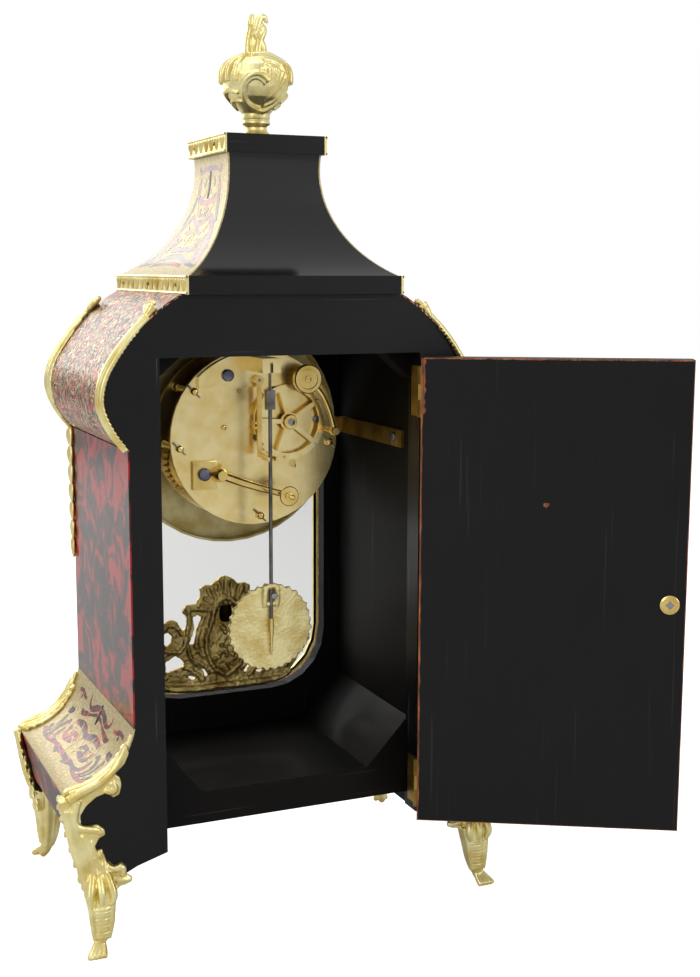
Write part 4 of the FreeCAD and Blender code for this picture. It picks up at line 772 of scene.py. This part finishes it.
def corner_strands():
    """The other half of the leaf, bent round the corner on to the flare and the cheek."""
    lines = []
    runs = [2.0 + 6.5 * k for k in range(8)]
    for y, lift, thick in ((59.6, 1.4, 2.2), (57.0, 1.9, 2.0), (54.2, 1.7, 1.8), (51.4, 1.3, 1.3)):
        lines.append([(FLARE.at(run, lift)[0], y + 0.02 * k * (60 - y), FLARE.at(run, lift)[1],
                       thick - 0.14 * k)
                      for k, run in enumerate(runs[:8 - round((60 - y) / 3)])])
    for k in range(9):
        run = 1.0 + 4.6 * k
        (x0, z0), (x1, z1) = FLARE.at(run, 1.6), FLARE.at(run + 2.8, 1.2)
        lines.append([(x0, 57.0, z0, 1.5), (x0, 52.6, z0, 1.5), (x1, 49.4 + 0.75 * k, z1, 1.0)])
    cheek = [(120.6, 80.4), (119.4, 74.0), (117.6, 66.0), (115.6, 58.0), (113.6, 50.0), (111.6, 42.0),
             (109.8, 33.0)]
    for y, thick in ((59.8, 2.2), (57.0, 2.1), (54.2, 1.8), (51.8, 1.3)):
        lines.append([(x, y + 0.3 * k, z, thick) for k, (x, z) in enumerate(cheek)])
    for k, (x, z) in enumerate(cheek[:6]):
        for drop in (0.0, 4.0):
            lines.append([(x + 0.4, 55.0, z - drop, 1.6), (x + 0.3, 50.4 + 0.4 * k, z - drop - 1.6, 1.3),
                          (x + 0.1, 48.0 + 0.5 * k, z - drop - 4.2, 0.8)])
    return lines


def leg_strands():
    """The leg: a core, flutes down the calf, ribs over the shin, leaves over the knee, and toes."""
    lines = [[(x, y, z, r * 0.84) for z, x, y, r in LEG]]
    for k in range(8):
        angle = 2 * math.pi * (k + 0.5) / 8
        lines.append([(x + r * 0.72 * math.cos(angle), y + r * 0.72 * math.sin(angle), z, r * 0.32)
                      for z, x, y, r in LEG[:6]])
    for k in range(9):
        z = 24.4 - 1.75 * k
        share = (24.4 - z) / 14.0
        x, y, r = 103.6 + 0.4 * share, 60.0 + 2.0 * share, 6.3 - 1.5 * share
        lines.append([(x + r * math.cos(math.radians(a)), y + r * math.sin(math.radians(a)), z, 0.66)
                      for a in range(36, 161, 20)])
    for side in (-1, 1):
        lines.append([(104 + side * 6.6, 62.6, 33.0, 1.9), (104 + side * 5.4, 65.0, 25.0, 1.3),
                      (104 + side * 5.0, 65.4, 16.0, 1.2), (104.4 + side * 3.6, 65.2, 9.0, 1.0)])
    for dx, lean in ((-5.0, -1.2), (0.4, 0.0), (5.6, 1.0)):
        lines.append([(104 + dx * 0.7, 62.0, 41.0, 2.1), (104 + dx, 65.8, 35.0, 2.3),
                      (104 + dx + lean, 67.0, 29.4, 1.8), (104 + dx * 0.8, 65.8, 26.4, 0.9)])
    for dx in (-3.4, -1.1, 1.2, 3.5):
        lines.append([(105.0 + dx * 0.4, 63.8, 8.0, 1.3), (106.4 + dx * 0.8, 66.2, 4.8, 1.5),
                      (107.6 + dx, 68.6, 2.4, 1.7), (108.0 + dx, 69.6, 1.6, 1.6)])
    return lines


def make_feet():
    """A pierced leaf up each corner of the skirt that runs down into a fluted leg and a toe."""
    back = HALF_D + 1.0
    slab = plate([LEAF, LEAF_HOLE], back, 2.4)
    lines = [[(x, back + 0.8, z, r) for x, z, r in line] for line in LEAF_RIBS]
    lines += corner_strands() + leg_strands()
    right = cast(join([slab, strands(lines)]), 0.5, 2)
    file_sole(right)
    feet = {name: copy_of(right, flip) for name, flip in OTHER_CORNERS.items()}
    for name, foot in (feet | {"rear_right": right}).items():
        place_piece(foot, f"foot_{name}_casting", "case", "gilt", [f"foot_{name}"])


def slotted_screw(radius, tall):
    """A screw's head that faces +Y with its slot along X: drawn out, its edge eased, and pressed in."""
    profile = [(0.0, 0.96), (0.75, 1.0), (0.92, 0.93), (1.0, 0.8)]
    head = turned([(tall * rise, radius * reach) for rise, reach in profile], (0, 0, 0), "Y", 32)
    open_for_editing(head)
    half = radius * 0.14
    for rise in (-half * 1.25, -half, half, half * 1.25):
        bpy.ops.mesh.bisect(plane_co=(0, 0, rise * MM), plane_no=(0, 0, 1))
        bpy.ops.mesh.select_all(action="SELECT")
    bpy.ops.mesh.bisect(plane_co=(0, tall * 0.5 * MM, 0), plane_no=(0, 1, 0))
    clear_selection()
    for vertex in head.data.vertices:
        if abs(vertex.co.z) <= half * 1.01 * MM and vertex.co.y > tall * 0.52 * MM:
            vertex.co.y = tall * 0.5 * MM
    return head


def set_screw(head, place, angle):
    """Turns a screw's slot and sets the head's foot at a place, in millimetres and degrees."""
    turn = Matrix.Rotation(math.radians(angle), 4, "Y")
    head.data.transform(Matrix.Translation(Vector(place) * MM) @ turn)
    return head


def file_sole(piece):
    """Files a casting flat at the ground that it stands on."""
    open_for_editing(piece)
    bpy.ops.mesh.bisect(plane_co=(0, 0, 0), plane_no=(0, 0, 1), clear_inner=True, use_fill=True)
    clear_selection()

# The shoulder leaf's ribs: y, height over the wood, radius, and the share of its length they run
SHOULDER_RIBS = [(60.4, 1.2, 1.3, 0.0, 1.0), (58.4, 2.0, 1.7, 0.0, 1.0), (56.2, 1.9, 1.5, 0.10, 0.97),
                 (54.2, 1.6, 1.3, 0.22, 0.90), (52.6, 1.2, 0.9, 0.30, 0.80)]


def make_shoulder_mounts():
    """A long leaf bent over each corner of the shoulders, with a ball and a curl at its top."""
    lines = []
    low, high = 0.6, SHOULDER.length - 20.0
    for y, out, thick, start, stop in SHOULDER_RIBS:
        line = []
        for k in range(15):
            share = start + (stop - start) * k / 14
            x, z = SHOULDER.at(low + (high - low) * share, out)
            line.append((x, y + (1.6 if share < 0.12 else 0.0) * (1 - share / 0.12) * (60 - y) / 4, z,
                         thick * (0.7 + 0.36 * math.sin(math.pi * share))))
        lines.append(line)
    for k in range(12):
        # small lobes along the inner edge
        run = low + 16.0 + 3.3 * k
        (x0, z0), (x1, z1) = SHOULDER.at(run, 1.5), SHOULDER.at(run + 2.6, 1.0)
        lines.append([(x0, 54.4, z0, 1.2), (x1, 51.6 + 0.1 * abs(k - 6), z1, 0.8)])
    for k in range(26):
        # a beaded edge against the wood of the back
        x, z = SHOULDER.at(low + 3.0 + 2.4 * k, 0.4)
        lines.append([(x, 60.9, z - 0.3, 0.75), (x, 60.9, z + 0.3, 0.75)])
    x, z = SHOULDER.at(high, 2.0)
    lines.append([(x, 58.2, z, 1.7), (x - 1.4, 57.6, z + 2.0, 2.1), (x - 3.2, 57.4, z + 4.0, 2.7),
                  (x - 3.8, 57.4, z + 4.6, 2.6)])
    lines.append([(x - 0.6, 56.6, z + 0.4, 1.3), (x - 1.0, 53.4, z + 2.6, 1.7),
                  (x - 2.6, 51.6, z + 4.8, 1.9), (x - 4.2, 52.6, z + 6.0, 1.7),
                  (x - 4.8, 54.6, z + 6.2, 1.4)])
    corner = cast(strands(lines), 0.42, 2)
    corners = [copy_of(corner, flip) for flip in OTHER_CORNERS.values()]
    for side in (-1, 1):
        # a short leaf along the shoulder's lower edge, towards the dial
        lines = [[(side * 86.4, -54.0 + 3.4 * k, 251.2 + 0.9 * math.sin(k * 1.9), 1.5 - 0.14 * k)
                  for k in range(8)]]
        for k in range(6):
            lines.append([(side * 86.6, -52.0 + 3.4 * k, 251.2, 1.1),
                          (side * 86.8, -49.6 + 3.4 * k, 253.6 - 0.2 * k, 0.7)])
        corners.append(cast(strands(lines), 0.42, 1))
    place_piece(join([corner] + corners), "shoulder_leaf_mounts", "case", "gilt",
                ["shoulder_mounts"])


def make_chutes():
    """Drops of husks on the waist's front corners, one half on each face."""
    lines = []
    for k in range(7):
        z = 244.0 - 10.4 * k
        wide = 3.2 - 0.22 * k
        for side in (-1, 0, 1):
            lines.append([(85.4 + side * 0.6, -60.4, z + 4.0, 0.9),
                          (85.0 + side * wide, -60.8, z, 1.5 - 0.08 * k),
                          (85.0 + side * wide * 0.3, -61.0, z - 6.4, 0.6)])
            lines.append([(85.6, -59.6 + side * 0.6, z + 4.0, 0.9),
                          (86.2, -58.0 + side * wide * 0.8, z, 1.4 - 0.08 * k),
                          (86.2, -58.0, z - 6.4, 0.6)])
    lines.append([(84.6, -60.4, 250.0, 1.2), (85.0, -61.4, 246.5, 2.0), (85.0, -61.0, 243.0, 1.2)])
    lines.append([(82.2, -60.6, 249.6, 1.0), (81.2, -61.0, 247.0, 1.6), (82.6, -60.8, 244.0, 1.0)])
    right = cast(strands(lines), 0.45, 2)
    both = join([right, copy_of(right, (-1, 1, 1))])
    place_piece(both, "corner_husk_drops", "case", "gilt", ["corner_chutes"])

# The cartouche's outline from the top of the shell down the side that the photograph shows, as x and z
SHELL_EDGE = [(1.8, 159.5), (4.4, 158.1), (7.3, 156.2), (9.2, 154.2), (13.0, 154.5), (16.5, 152.8),
              (15.9, 149.0), (18.5, 144.4), (24.7, 143.8), (26.6, 140.8), (23.8, 136.2), (24.5, 131.0),
              (27.4, 128.9), (30.7, 134.6), (34.5, 136.0), (39.1, 134.1), (42.0, 130.0), (42.6, 124.0),
              (41.0, 118.0), (43.6, 113.6), (46.8, 114.6), (50.8, 118.4), (53.6, 118.0), (50.6, 113.0),
              (46.6, 108.4), (43.8, 103.8), (41.0, 100.0), (38.4, 96.2), (30.0, 93.6), (14.0, 92.4),
              (1.6, 92.4)]
SHELL_HOLES = [[(38.4, 129.4), (35.7, 129.8), (32.8, 126.7), (33.5, 122.8), (37.4, 120.3), (39.6, 124.6)],
               [(38.3, 112.3), (32.2, 115.6), (28.4, 114.2), (25.6, 109.4), (29.5, 107.3), (37.6, 105.0)],
               [(21.4, 137.5), (18.3, 138.7), (14.9, 136.9), (16.4, 130.0), (19.6, 120.3), (24.2, 120.8),
                (20.6, 130.4)],
               [(17.8, 108.5), (15.7, 109.8), (11.7, 101.3), (14.3, 100.5)],
               [(27.0, 102.6), (22.0, 103.2), (18.3, 101.0), (22.0, 99.6)]]

# The niche's frame and the scrolls beside and below it, as height over the sheet and a strand
SHELL_SCROLLS = [
    (1.6, [(1.6, 147.6, 1.6), (6.6, 145.4, 1.8), (8.8, 139.6, 1.8), (10.4, 132.0, 1.5),
           (13.4, 126.0, 1.5), (13.8, 118.0, 1.6), (11.6, 110.0, 1.7), (8.0, 104.6, 1.8),
           (1.6, 101.6, 2.0)]),
    (1.0, [(15.0, 137.0, 1.3), (18.6, 128.0, 1.3), (20.0, 119.6, 1.5), (16.0, 114.0, 1.5),
           (11.4, 111.0, 1.2)]),
    (1.0, [(24.6, 142.4, 1.5), (23.0, 137.0, 1.4), (25.0, 128.0, 1.4), (25.6, 120.0, 1.5),
           (30.2, 117.4, 1.3)]),
    (1.0, [(27.4, 127.0, 1.3), (30.6, 132.6, 1.5), (35.0, 134.0, 1.5), (40.0, 130.6, 1.5),
           (41.4, 124.0, 1.5), (38.6, 118.4, 1.4), (33.4, 118.2, 1.5), (28.4, 117.0, 1.5)]),
    (1.0, [(41.4, 124.0, 1.2), (41.0, 116.0, 1.5), (40.4, 108.0, 1.5), (38.6, 102.0, 1.3)]),
    (1.0, [(24.4, 120.6, 1.2), (23.6, 112.0, 1.6), (18.0, 110.6, 1.7), (10.0, 104.0, 1.8)]),
    (1.0, [(27.0, 108.0, 1.2), (20.4, 105.6, 1.6), (15.0, 99.0, 1.5)]),
    (1.4, [(42.0, 99.6, 1.3), (38.0, 96.4, 1.8), (28.0, 95.0, 2.2), (14.0, 94.6, 2.5), (1.6, 94.8, 2.6)]),
]


def make_window_mount():
    """A pierced rococo cartouche in the foot of the window: a ragged shell over a niche, with a painted
    shadow in the niche.
    """
    y = -48.6
    middle = 1.6
    outline = SHELL_EDGE + [(2 * middle - x, z) for x, z in reversed(SHELL_EDGE[1:-1])]
    loops = [outline] + SHELL_HOLES + [[(2 * middle - x, z) for x, z in hole] for hole in SHELL_HOLES]
    sheet = plate(loops, y, 2.6)
    # the tips of the shell's ribs
    tips = [(3.6, 157.0, 1.2), (7.6, 154.2, 1.3), (12.6, 152.8, 1.3), (14.4, 148.0, 1.4),
            (16.6, 143.6, 1.4), (22.4, 142.0, 1.4)]
    strokes = [(1.2, [(3.0 + 0.30 * x, 143.4 - 0.16 * x, 1.0),
                      (1.0 + 0.7 * x, 0.45 * 142 + 0.55 * z, r + 0.4),
                      (x, z, r)]) for x, z, r in tips]
    lines = [[(middle + flip * (x - middle), y + lift, z, r) for x, z, r in points]
             for flip in (-1, 1) for lift, points in strokes + SHELL_SCROLLS]
    # loose shell work in the niche, lump by lump
    random.seed(11)
    for _ in range(34):
        z = 104.0 + 27.0 * random.random()
        x = middle + random.uniform(-1.0, 1.0) * (7.4 - 0.16 * (z - 104.0))
        r = random.uniform(0.9, 1.7)
        lines.append([(x, y + 0.4, z - r, r), (x + random.uniform(-1, 1), y + 1.2 + random.random(),
                                               z + r * 0.6, r * 0.8)])
    piece = cast(join([sheet, strands(lines, 4, 1)]), 0.48, 1)
    roughen(piece, 0.45, 2.2)
    place_piece(piece, "window_cartouche", "case", "gilt_dull", ["window_mount"])
    # a dark brass lump in the niche's middle: a painted shadow, not a part of the casting
    shade = strands([[(middle, y + 1.5, 133.6, 3.2), (middle, y + 1.9, 138.0, 4.4),
                      (middle, y + 1.5, 142.4, 3.0)]], 4, 2)
    place_piece(shade, "niche_shadow", "case", "painted_shadow_brass")


def make_band_relief(name, half_x, front_y, rear_y, low, high, pitch, nail_shares):
    """Repeated scrolls and buds on a band that runs along the front and both sides, with nails."""
    lines = []
    middle, half = (low + high) / 2, (high - low) / 2
    rims = ((high - 0.6, 0.75), (low + 0.6, 0.6))

    def unit(put):
        """One repeat: a bud between two scrolls. put gives the place of a run and a height."""
        for side in (-1, 1):
            lines.append([(*put(side * 0.6, -half * 0.6), 0.35),
                          (*put(side * pitch * 0.22, -half * 0.1), 0.55),
                          (*put(side * pitch * 0.36, half * 0.42), 0.5),
                          (*put(side * pitch * 0.2, half * 0.62), 0.45),
                          (*put(side * pitch * 0.14, half * 0.3), 0.4)])
        lines.append([(*put(0, -half * 0.55), 0.5), (*put(0, half * 0.5), 0.75)])

    for side in (-1, 1):
        count = round((rear_y - front_y) / pitch)
        for k in range(count):
            y = front_y + (k + 0.5) * (rear_y - front_y) / count
            unit(lambda run, rise, y=y, side=side: (side * (half_x + 0.1), y + run, middle + rise))
        for z, thick in rims:
            lines.append([(side * half_x, front_y, z, thick), (side * half_x, rear_y, z, thick)])
    count = round(2 * half_x / pitch)
    for k in range(count):
        x = -half_x + (k + 0.5) * 2 * half_x / count
        unit(lambda run, rise, x=x: (x + run, front_y - 0.1, middle + rise))
    for z, thick in rims:
        lines.append([(-half_x, front_y, z, thick), (half_x, front_y, z, thick)])
    relief = strands(lines, 3, 1)
    place_piece(relief, name, "case", "gilt")
    nails = []
    for side in (-1, 1):
        for share in nail_shares:
            y = front_y + share * (rear_y - front_y)
            nails.append(turned([(0.0, 0.9), (0.9, 0.9), (1.2, 0.4)], (0, 0, 0), "X", 12))
            nails[-1].data.transform(Matrix.Translation((side * half_x * MM, y * MM, middle * MM))
                                     @ Matrix.Scale(side, 4, (1, 0, 0)))
    place_piece(join(nails), name + "_nails", "case", "dull_brass")


# ---------------------------------------------------------------- pendulum
def make_bob():
    """A thin cast disc with a ragged sunburst rim, and a clamp with a steel screw on the rod."""
    random.seed(4)
    centre, points = 145.8, []
    for number in range(64):
        angle = 2 * math.pi * number / 64
        reach = (23.3 if number % 2 else 22.0) + random.uniform(-0.3, 0.3)
        points.append((reach * math.cos(angle), centre + reach * math.sin(angle)))
    disc = plate([points], 21.9, 2.6, 0.4)
    lines = []
    for number in range(32):
        angle = 2 * math.pi * (number + 0.5) / 32
        lines.append([(r * math.cos(angle), 22.7, centre + r * math.sin(angle), thick)
                      for r, thick in ((15.0 + random.uniform(-3, 2), 0.35), (19.0, 0.6), (21.6, 0.7))])
    for sign in (-1, 1):
        lines.append([(sign * 3.2, 23.2, 157.4, 1.5), (sign * 3.8, 24.6, 163.0, 1.9),
                      (sign * 3.0, 24.8, 169.0, 1.5)])
    lines.append([(-3.4, 24.4, 168.0, 1.5), (0.0, 25.0, 169.2, 1.7), (3.4, 24.4, 168.0, 1.5)])
    lines.append([(-3.6, 23.4, 159.0, 1.4), (0.0, 23.6, 158.2, 1.4), (3.6, 23.4, 159.0, 1.4)])
    disc = cast(join([disc, strands(lines, 3, 1)]), 0.42, 1)
    roughen(disc, 0.22, 1.1)
    place_piece(disc, "bob_sunburst", "pendulum", "gilt_matt", ["pendulum_bob"], 30)
    tail = turned([(131.0, 0.3), (142.0, 1.2), (147.0, 1.5), (151.0, 1.2)], (0, 24.2, 0), "Z", 16)
    place_piece(tail, "rod_tail", "pendulum", "turned_brass")
    screw = slotted_screw(1.7, 1.2)
    set_screw(screw, (-1.0, 26.2, 163.4), 70)
    place_piece(screw, "bob_clamp_screw", "pendulum", "steel")


# ---------------------------------------------------------------- movement
PILLARS = (37.0, -5.7, -93.0, 143.0, 185.7)   # degrees around the plate, from +X
PILLAR_RING = 42.5
# The plate's screws, as place, radius, height and the slot's angle
PLATE_SCREWS = [((16.1, 3.9, 278.7), 3.2, 1.6, 52), ((29.5, 3.5, 226.8), 3.4, 1.8, 80),
                ((-35.2, 1.3, 262.6), 1.9, 1.4, 35), ((-35.0, 1.3, 253.4), 2.0, 1.2, 20)]


def pillar_place(angle):
    turn = math.radians(angle)
    return PILLAR_RING * math.cos(turn), AXIS_Z + PILLAR_RING * math.sin(turn)


def make_fasteners():
    """Blued screws, and the pillars with steel taper pins through their ends."""
    screws = []
    for place, radius, tall, angle in PLATE_SCREWS:
        screws.append(set_screw(slotted_screw(radius, tall), place, angle))
    for side in (-1, 1):
        head = slotted_screw(3.0, 1.4)
        head.data.transform(Matrix.Translation((side * 68.4 * MM, 29.0 * MM, AXIS_Z * MM))
                            @ Matrix.Rotation(math.radians(side * 90), 4, "Z")
                            @ Matrix.Rotation(0.7, 4, "Y"))
        screws.append(head)
    place_piece(join(screws), "blued_screws", "case", "screw", ["movement_fasteners"])
    ends, pins, posts = [], [], []
    for angle in PILLARS:
        x, z = pillar_place(angle)
        ends.append(turned([(0.0, 2.0), (1.7, 2.0), (2.3, 1.7), (2.6, 1.1)], (x, PLATE_REAR, z), "Y", 28))
        pin = turned([(-4.6, 0.34), (0.0, 0.48), (4.6, 0.62)], (0, 0, 0), "X", 14)
        pin.data.transform(Matrix.Translation((x * MM, (PLATE_REAR + 1.2) * MM, z * MM))
                           @ Matrix.Rotation(math.radians(-46), 4, "Y"))
        pins.append(pin)
        posts.append(turned([(-28.9, 2.6), (-26.6, 2.6), (-25.4, 1.8), (-24.0, 2.3), (-22.0, 2.0),
                             (-15.0, 2.0), (-8.0, 2.0), (-6.0, 2.3), (-4.6, 1.8), (-3.4, 2.6),
                             (-0.9, 2.6)], (x, 0, z),
                            "Y", 28))
    place_piece(join(ends), "pillar_ends", "case", "turned_brass")
    place_piece(join(pins), "taper_pins", "case", "steel")
    place_piece(join(posts), "turned_pillars", "case", "turned_brass", ["plate_pillars"])


def make_bell_stand():
    """The bell's arm: a screwed foot, a tapered arm, and a cone seat with its stud."""
    foot = plate([[(22.9, 218.9), (35.4, 218.9), (35.4, 233.5), (22.9, 233.5)]], PLATE_REAR + 1.1, 2.2, 0.3)
    block = turned([(1.3, 4.0), (3.0, 4.4), (8.6, 3.6), (10.8, 2.6)], (21.5, 0, 226.5), "Y", 32)
    arm = strands([[(22.6, 7.0, 227.0, 2.5), (14.0, 11.0, 223.4, 2.3), (2.0, 14.6, 219.4, 1.9),
                    (-9.6, 16.2, 216.0, 1.7)]], 8, 4)
    seat = turned([(13.4, 1.9), (14.6, 2.4), (17.0, 2.4), (19.8, 5.1), (20.6, 5.3), (21.0, 4.9),
                   (21.02, 2.4), (21.4, 2.2), (21.5, 1.5), (25.6, 1.4),
                   (26.0, 1.0)], (-11.9, 0, 215.2), "Y", 40)
    place_piece(join([foot, block, arm, seat]), "bell_arm_and_seat", "case", "turned_brass",
                ["bell_stand"])


def make_hammer():
    """The hammer: a turned head with a sunk face, on a thin bent arm from its arbor."""
    head = turned([(12.0, 6.9), (12.6, 7.6), (15.8, 7.7), (16.4, 7.2), (16.42, 5.4), (15.8, 5.1),
                   (15.82, 1.9), (16.2, 1.7), (16.3, 1.0)], (-24.7, 0, 276.4), "Y", 48)
    arm = strands([[(-40.5, 14.2, 248.0, 1.3), (-38.6, 14.2, 256.0, 1.2), (-35.4, 14.2, 264.0, 1.2),
                    (-31.6, 14.2, 270.4, 1.3), (-28.6, 14.2, 272.6, 1.4)]], 8, 3)
    boss = turned([(11.0, 2.0), (11.6, 2.4), (16.0, 2.4), (16.6, 2.0)], HAMMER_ARBOR, "Y", 32)
    shaft = turned([(-31.1, 0.8), (-28.0, 1.3), (10.0, 1.3), (12.0, 1.2)], HAMMER_ARBOR, "Y", 20)
    place_piece(join([head, arm, boss, shaft]), "hammer_and_arm", "hammer", "turned_brass",
                ["hammer"])


def make_wheel_details():
    """The count wheel's boss with its steel arbor end, and small studs on the plate."""
    boss = turned([(5.8, 4.2), (6.4, 4.2), (7.4, 3.4), (8.2, 3.3), (8.3, 2.4)], COUNT_WHEEL, "Y", 36)
    place_piece(boss, "count_wheel_boss", "case", "turned_brass")
    tip = turned([(8.0, 1.9), (8.7, 1.9), (9.0, 1.4)], COUNT_WHEEL, "Y", 24)
    place_piece(tip, "count_wheel_arbor_end", "case", "steel")
    studs = [turned([(1.2, r), (1.2 + h * 0.7, r), (1.2 + h, r * 0.7)], (x, 0, z), "Y", 20)
             for x, z, r, h in ((9.3, 270.1, 1.1, 1.2), (17.8, 251.0, 1.4, 1.0), (-22.1, 228.6, 1.0, 0.8),
                                (-32.1, 259.5, 0.9, 0.9))]
    place_piece(join(studs), "plate_studs", "case", "turned_brass")


# ---------------------------------------------------------------- dial and doors
SERIF = 0.17          # a serif's half width, which doesn't narrow in a crowded numeral
NUMERALS = ["XII", "I", "II", "III", "IIII", "V", "VI", "VII", "VIII", "IX", "X", "XI"]


def numeral_strokes(text):
    """A Roman numeral as strokes from x, z to x, z with half widths, in a band 9 mm tall."""
    widths = {"I": 1.7, "V": 3.4, "X": 3.4}
    total, strokes = sum(widths[letter] for letter in text), []
    squeeze = min(1.0, 8.4 / total)
    left = -total / 2
    for letter in text:
        middle, half = left + widths[letter] / 2, widths[letter] / 2 - 0.5
        left += widths[letter]
        if letter == "I":
            strokes.append((middle, -4.2, middle, 4.2, 0.48))
        elif letter == "V":
            strokes += [(middle - half, 4.2, middle, -4.2, 0.52), (middle + half, 4.2, middle, -4.2, 0.26)]
        else:
            strokes += [(middle - half, 4.2, middle + half, -4.2, 0.52),
                        (middle + half, 4.2, middle - half, -4.2, 0.26)]
        strokes += [(middle - half - 0.5, rise, middle + half + 0.5, rise, SERIF) for rise in (-4.2, 4.2)]
    return [(x0 * squeeze, z0, x1 * squeeze, z1, r if r == SERIF else r * squeeze)
            for x0, z0, x1, z1, r in strokes]

TABLET_Y = -51.12     # the tablets' glazed face
RELIEF_Y = -50.1      # the cast dial's leaves and scrolls
RING_Y = -50.0        # its plain rings
WINDING_HOLE = (21.0, 15.0)   # each hole's place, out from the dial's centre and down from it
FIGURE_RING = 52.6    # radius that the numerals stand on


def on_dial(points, degrees, y):
    """Strand points of x, z and radius about the dial's centre, turned and set at a depth."""
    turn = Matrix.Rotation(math.radians(degrees), 2)
    turned_points = [(turn @ Vector((x, z)), r) for x, z, r in points]
    return [(p.x, y, AXIS_Z + p.y, r) for p, r in turned_points]


def clear_of_keyholes(line):
    """Whether a strand keeps 4.6 mm off both winding holes."""
    out, down = WINDING_HOLE
    return all(math.hypot(abs(x) - out, z - AXIS_Z + down) > 4.6 for x, _, z, _ in line)


def make_dial():
    """Blue-black numerals fired on the tablets, and the cast dial's rings, leaves and scrolls."""
    marks = []
    for hour, text in enumerate(NUMERALS):
        marks += [on_dial([(x0, z0 + FIGURE_RING, r), (x1, z1 + FIGURE_RING, r)], -30 * hour, TABLET_Y)
                  for x0, z0, x1, z1, r in numeral_strokes(text)]
    ink = strands(marks, 2, 1)
    for vertex in ink.data.vertices:
        vertex.co.y = TABLET_Y * MM + (vertex.co.y - TABLET_Y * MM) * 0.12   # fired almost flat
    place_piece(ink, "hour_figures", "case", "ink")
    lines = []
    for reach, thick in ((63.2, 0.8), (42.0, 0.9), (34.5, 0.7)):
        turns = [a * math.pi / 30 for a in range(61)]
        lines.append([(reach * math.cos(turn), RING_Y, AXIS_Z + reach * math.sin(turn), thick)
                      for turn in turns])
    for k in range(12):
        for side in (-1, 1):
            line = [(0.0, 44.0, 0.6), (side * 1.6, 48.0, 0.9), (side * 2.4, 53.0, 0.8),
                    (side * 1.0, 57.4, 0.8),
                    (side * 0.2, 60.8, 0.5)]
            lines.append(on_dial(line, 30 * k + 15, RELIEF_Y))
    for k in range(8):
        for side in (-1, 1):
            line = [(0.0, 8.0, 1.0), (side * 4.0, 13.0, 1.2), (side * 6.0, 20.0, 1.2),
                    (side * 2.6, 25.0, 1.1),
                    (side * 0.6, 21.4, 0.8)]
            lines.append(on_dial(line, 45 * k, RELIEF_Y))
    relief = strands([line for line in lines if clear_of_keyholes(line)], 3, 1)
    place_piece(relief, "dial_relief", "case", "gilt")


def swung_open(piece):
    """Carries a piece drawn with the back door shut to where the door stands at rest."""
    hinge = Vector(DOOR_HINGE) * MM
    piece.data.transform(Matrix.Translation(hinge) @ Matrix.Rotation(math.radians(DOOR_OPEN), 4, "Z")
                         @ Matrix.Translation(-hinge))
    return piece


def ragged(start, end, width, count, lean):
    """A worn strip's outline from start to end in x and z; lean points from the edge into the panel."""
    near, far = [], []
    for k in range(count + 1):
        x = start[0] + (end[0] - start[0]) * k / count
        z = start[1] + (end[1] - start[1]) * k / count
        wear = width * (0.55 + 0.45 * random.random())
        near.append((x, z))
        far.append((x + lean[0] * wear, z + lean[1] * wear))
    return near + far[::-1]


def make_door_details():
    """Worn edges with bare wood, a splinter's mark, and the latch's washer, square and knob."""
    random.seed(8)
    left, right, low, high = -68.25, 66.45, 47.45, 290.35
    strips = [ragged((left, 262.0), (left, high), 2.6, 14, (1, 0)),
              ragged((left, low), (left, 262.0), 1.1, 60, (1, 0)),
              ragged((right, low), (right, high), 0.5, 60, (-1, 0)),
              ragged((left, high), (right, high), 0.8, 50, (0, -1)),
              ragged((left, low), (right, low), 0.35, 50, (0, 1))]
    mark = [(-4.7 + (1.5 + random.uniform(-0.5, 0.5)) * math.cos(a * 0.63) * 1.2,
             216.8 + (1.2 + random.uniform(-0.5, 0.5)) * math.sin(a * 0.63)) for a in range(10)]
    worn = join([plate([strip], 47.46, 0.14, 0.03) for strip in strips + [mark]])
    place_piece(swung_open(worn), "worn_door_edges", "back_door", "raw_wood")
    washer = turned([(47.2, 4.7), (46.7, 4.9), (46.4, 4.5), (46.3, 2.4), (46.9, 2.3)], LATCH, "Y", 40)
    rose = turned([(59.7, 6.3), (60.2, 6.5), (60.7, 6.2), (61.2, 3.4), (62.2, 2.6), (63.6, 3.4),
                   (65.6, 5.6), (67.0, 6.2), (68.0, 5.4), (68.3, 3.0)], LATCH, "Y", 40)
    shank = turned([(46.2, 2.45), (60.0, 2.45)], LATCH, "Y", 24)
    tongue = plate([[(54.9, 167.0), (55.6, 164.6), (54.9, 152.4), (61.7, 152.4), (61.0, 164.6),
                     (61.7, 167.0), (60.7, 169.4), (58.3, 170.4), (55.9, 169.4)]], 54.0, 2.8, 0.3)
    latch = swung_open(join([washer, rose, shank, tongue]))
    place_piece(latch, "latch_washer_and_knob", "latch", "turned_brass", ["door_latch"])
    square = turned([(45.1, 1.9), (45.3, 2.1), (46.6, 2.1)], LATCH, "Y", 4)
    place_piece(swung_open(square), "latch_square", "latch", "steel", angle=20)


# ---------------------------------------------------------------- build
finish_nodes()
make_inlay()
make_finial()
make_feet()
make_shoulder_mounts()
make_chutes()
make_window_mount()
make_band_relief("cornice_relief", 56.6, -65.0, 65.0, 321.9, 330.8, 9.3, (0.12, 0.5, 0.88))
make_band_relief("roof_band_relief", 27.1, -23.6, 35.5, 390.8, 400.0, 8.4, (0.2, 0.75))
make_bob()
make_fasteners()
make_bell_stand()
make_hammer()
make_wheel_details()
make_dial()
make_door_details()
set_camera()
set_studio()
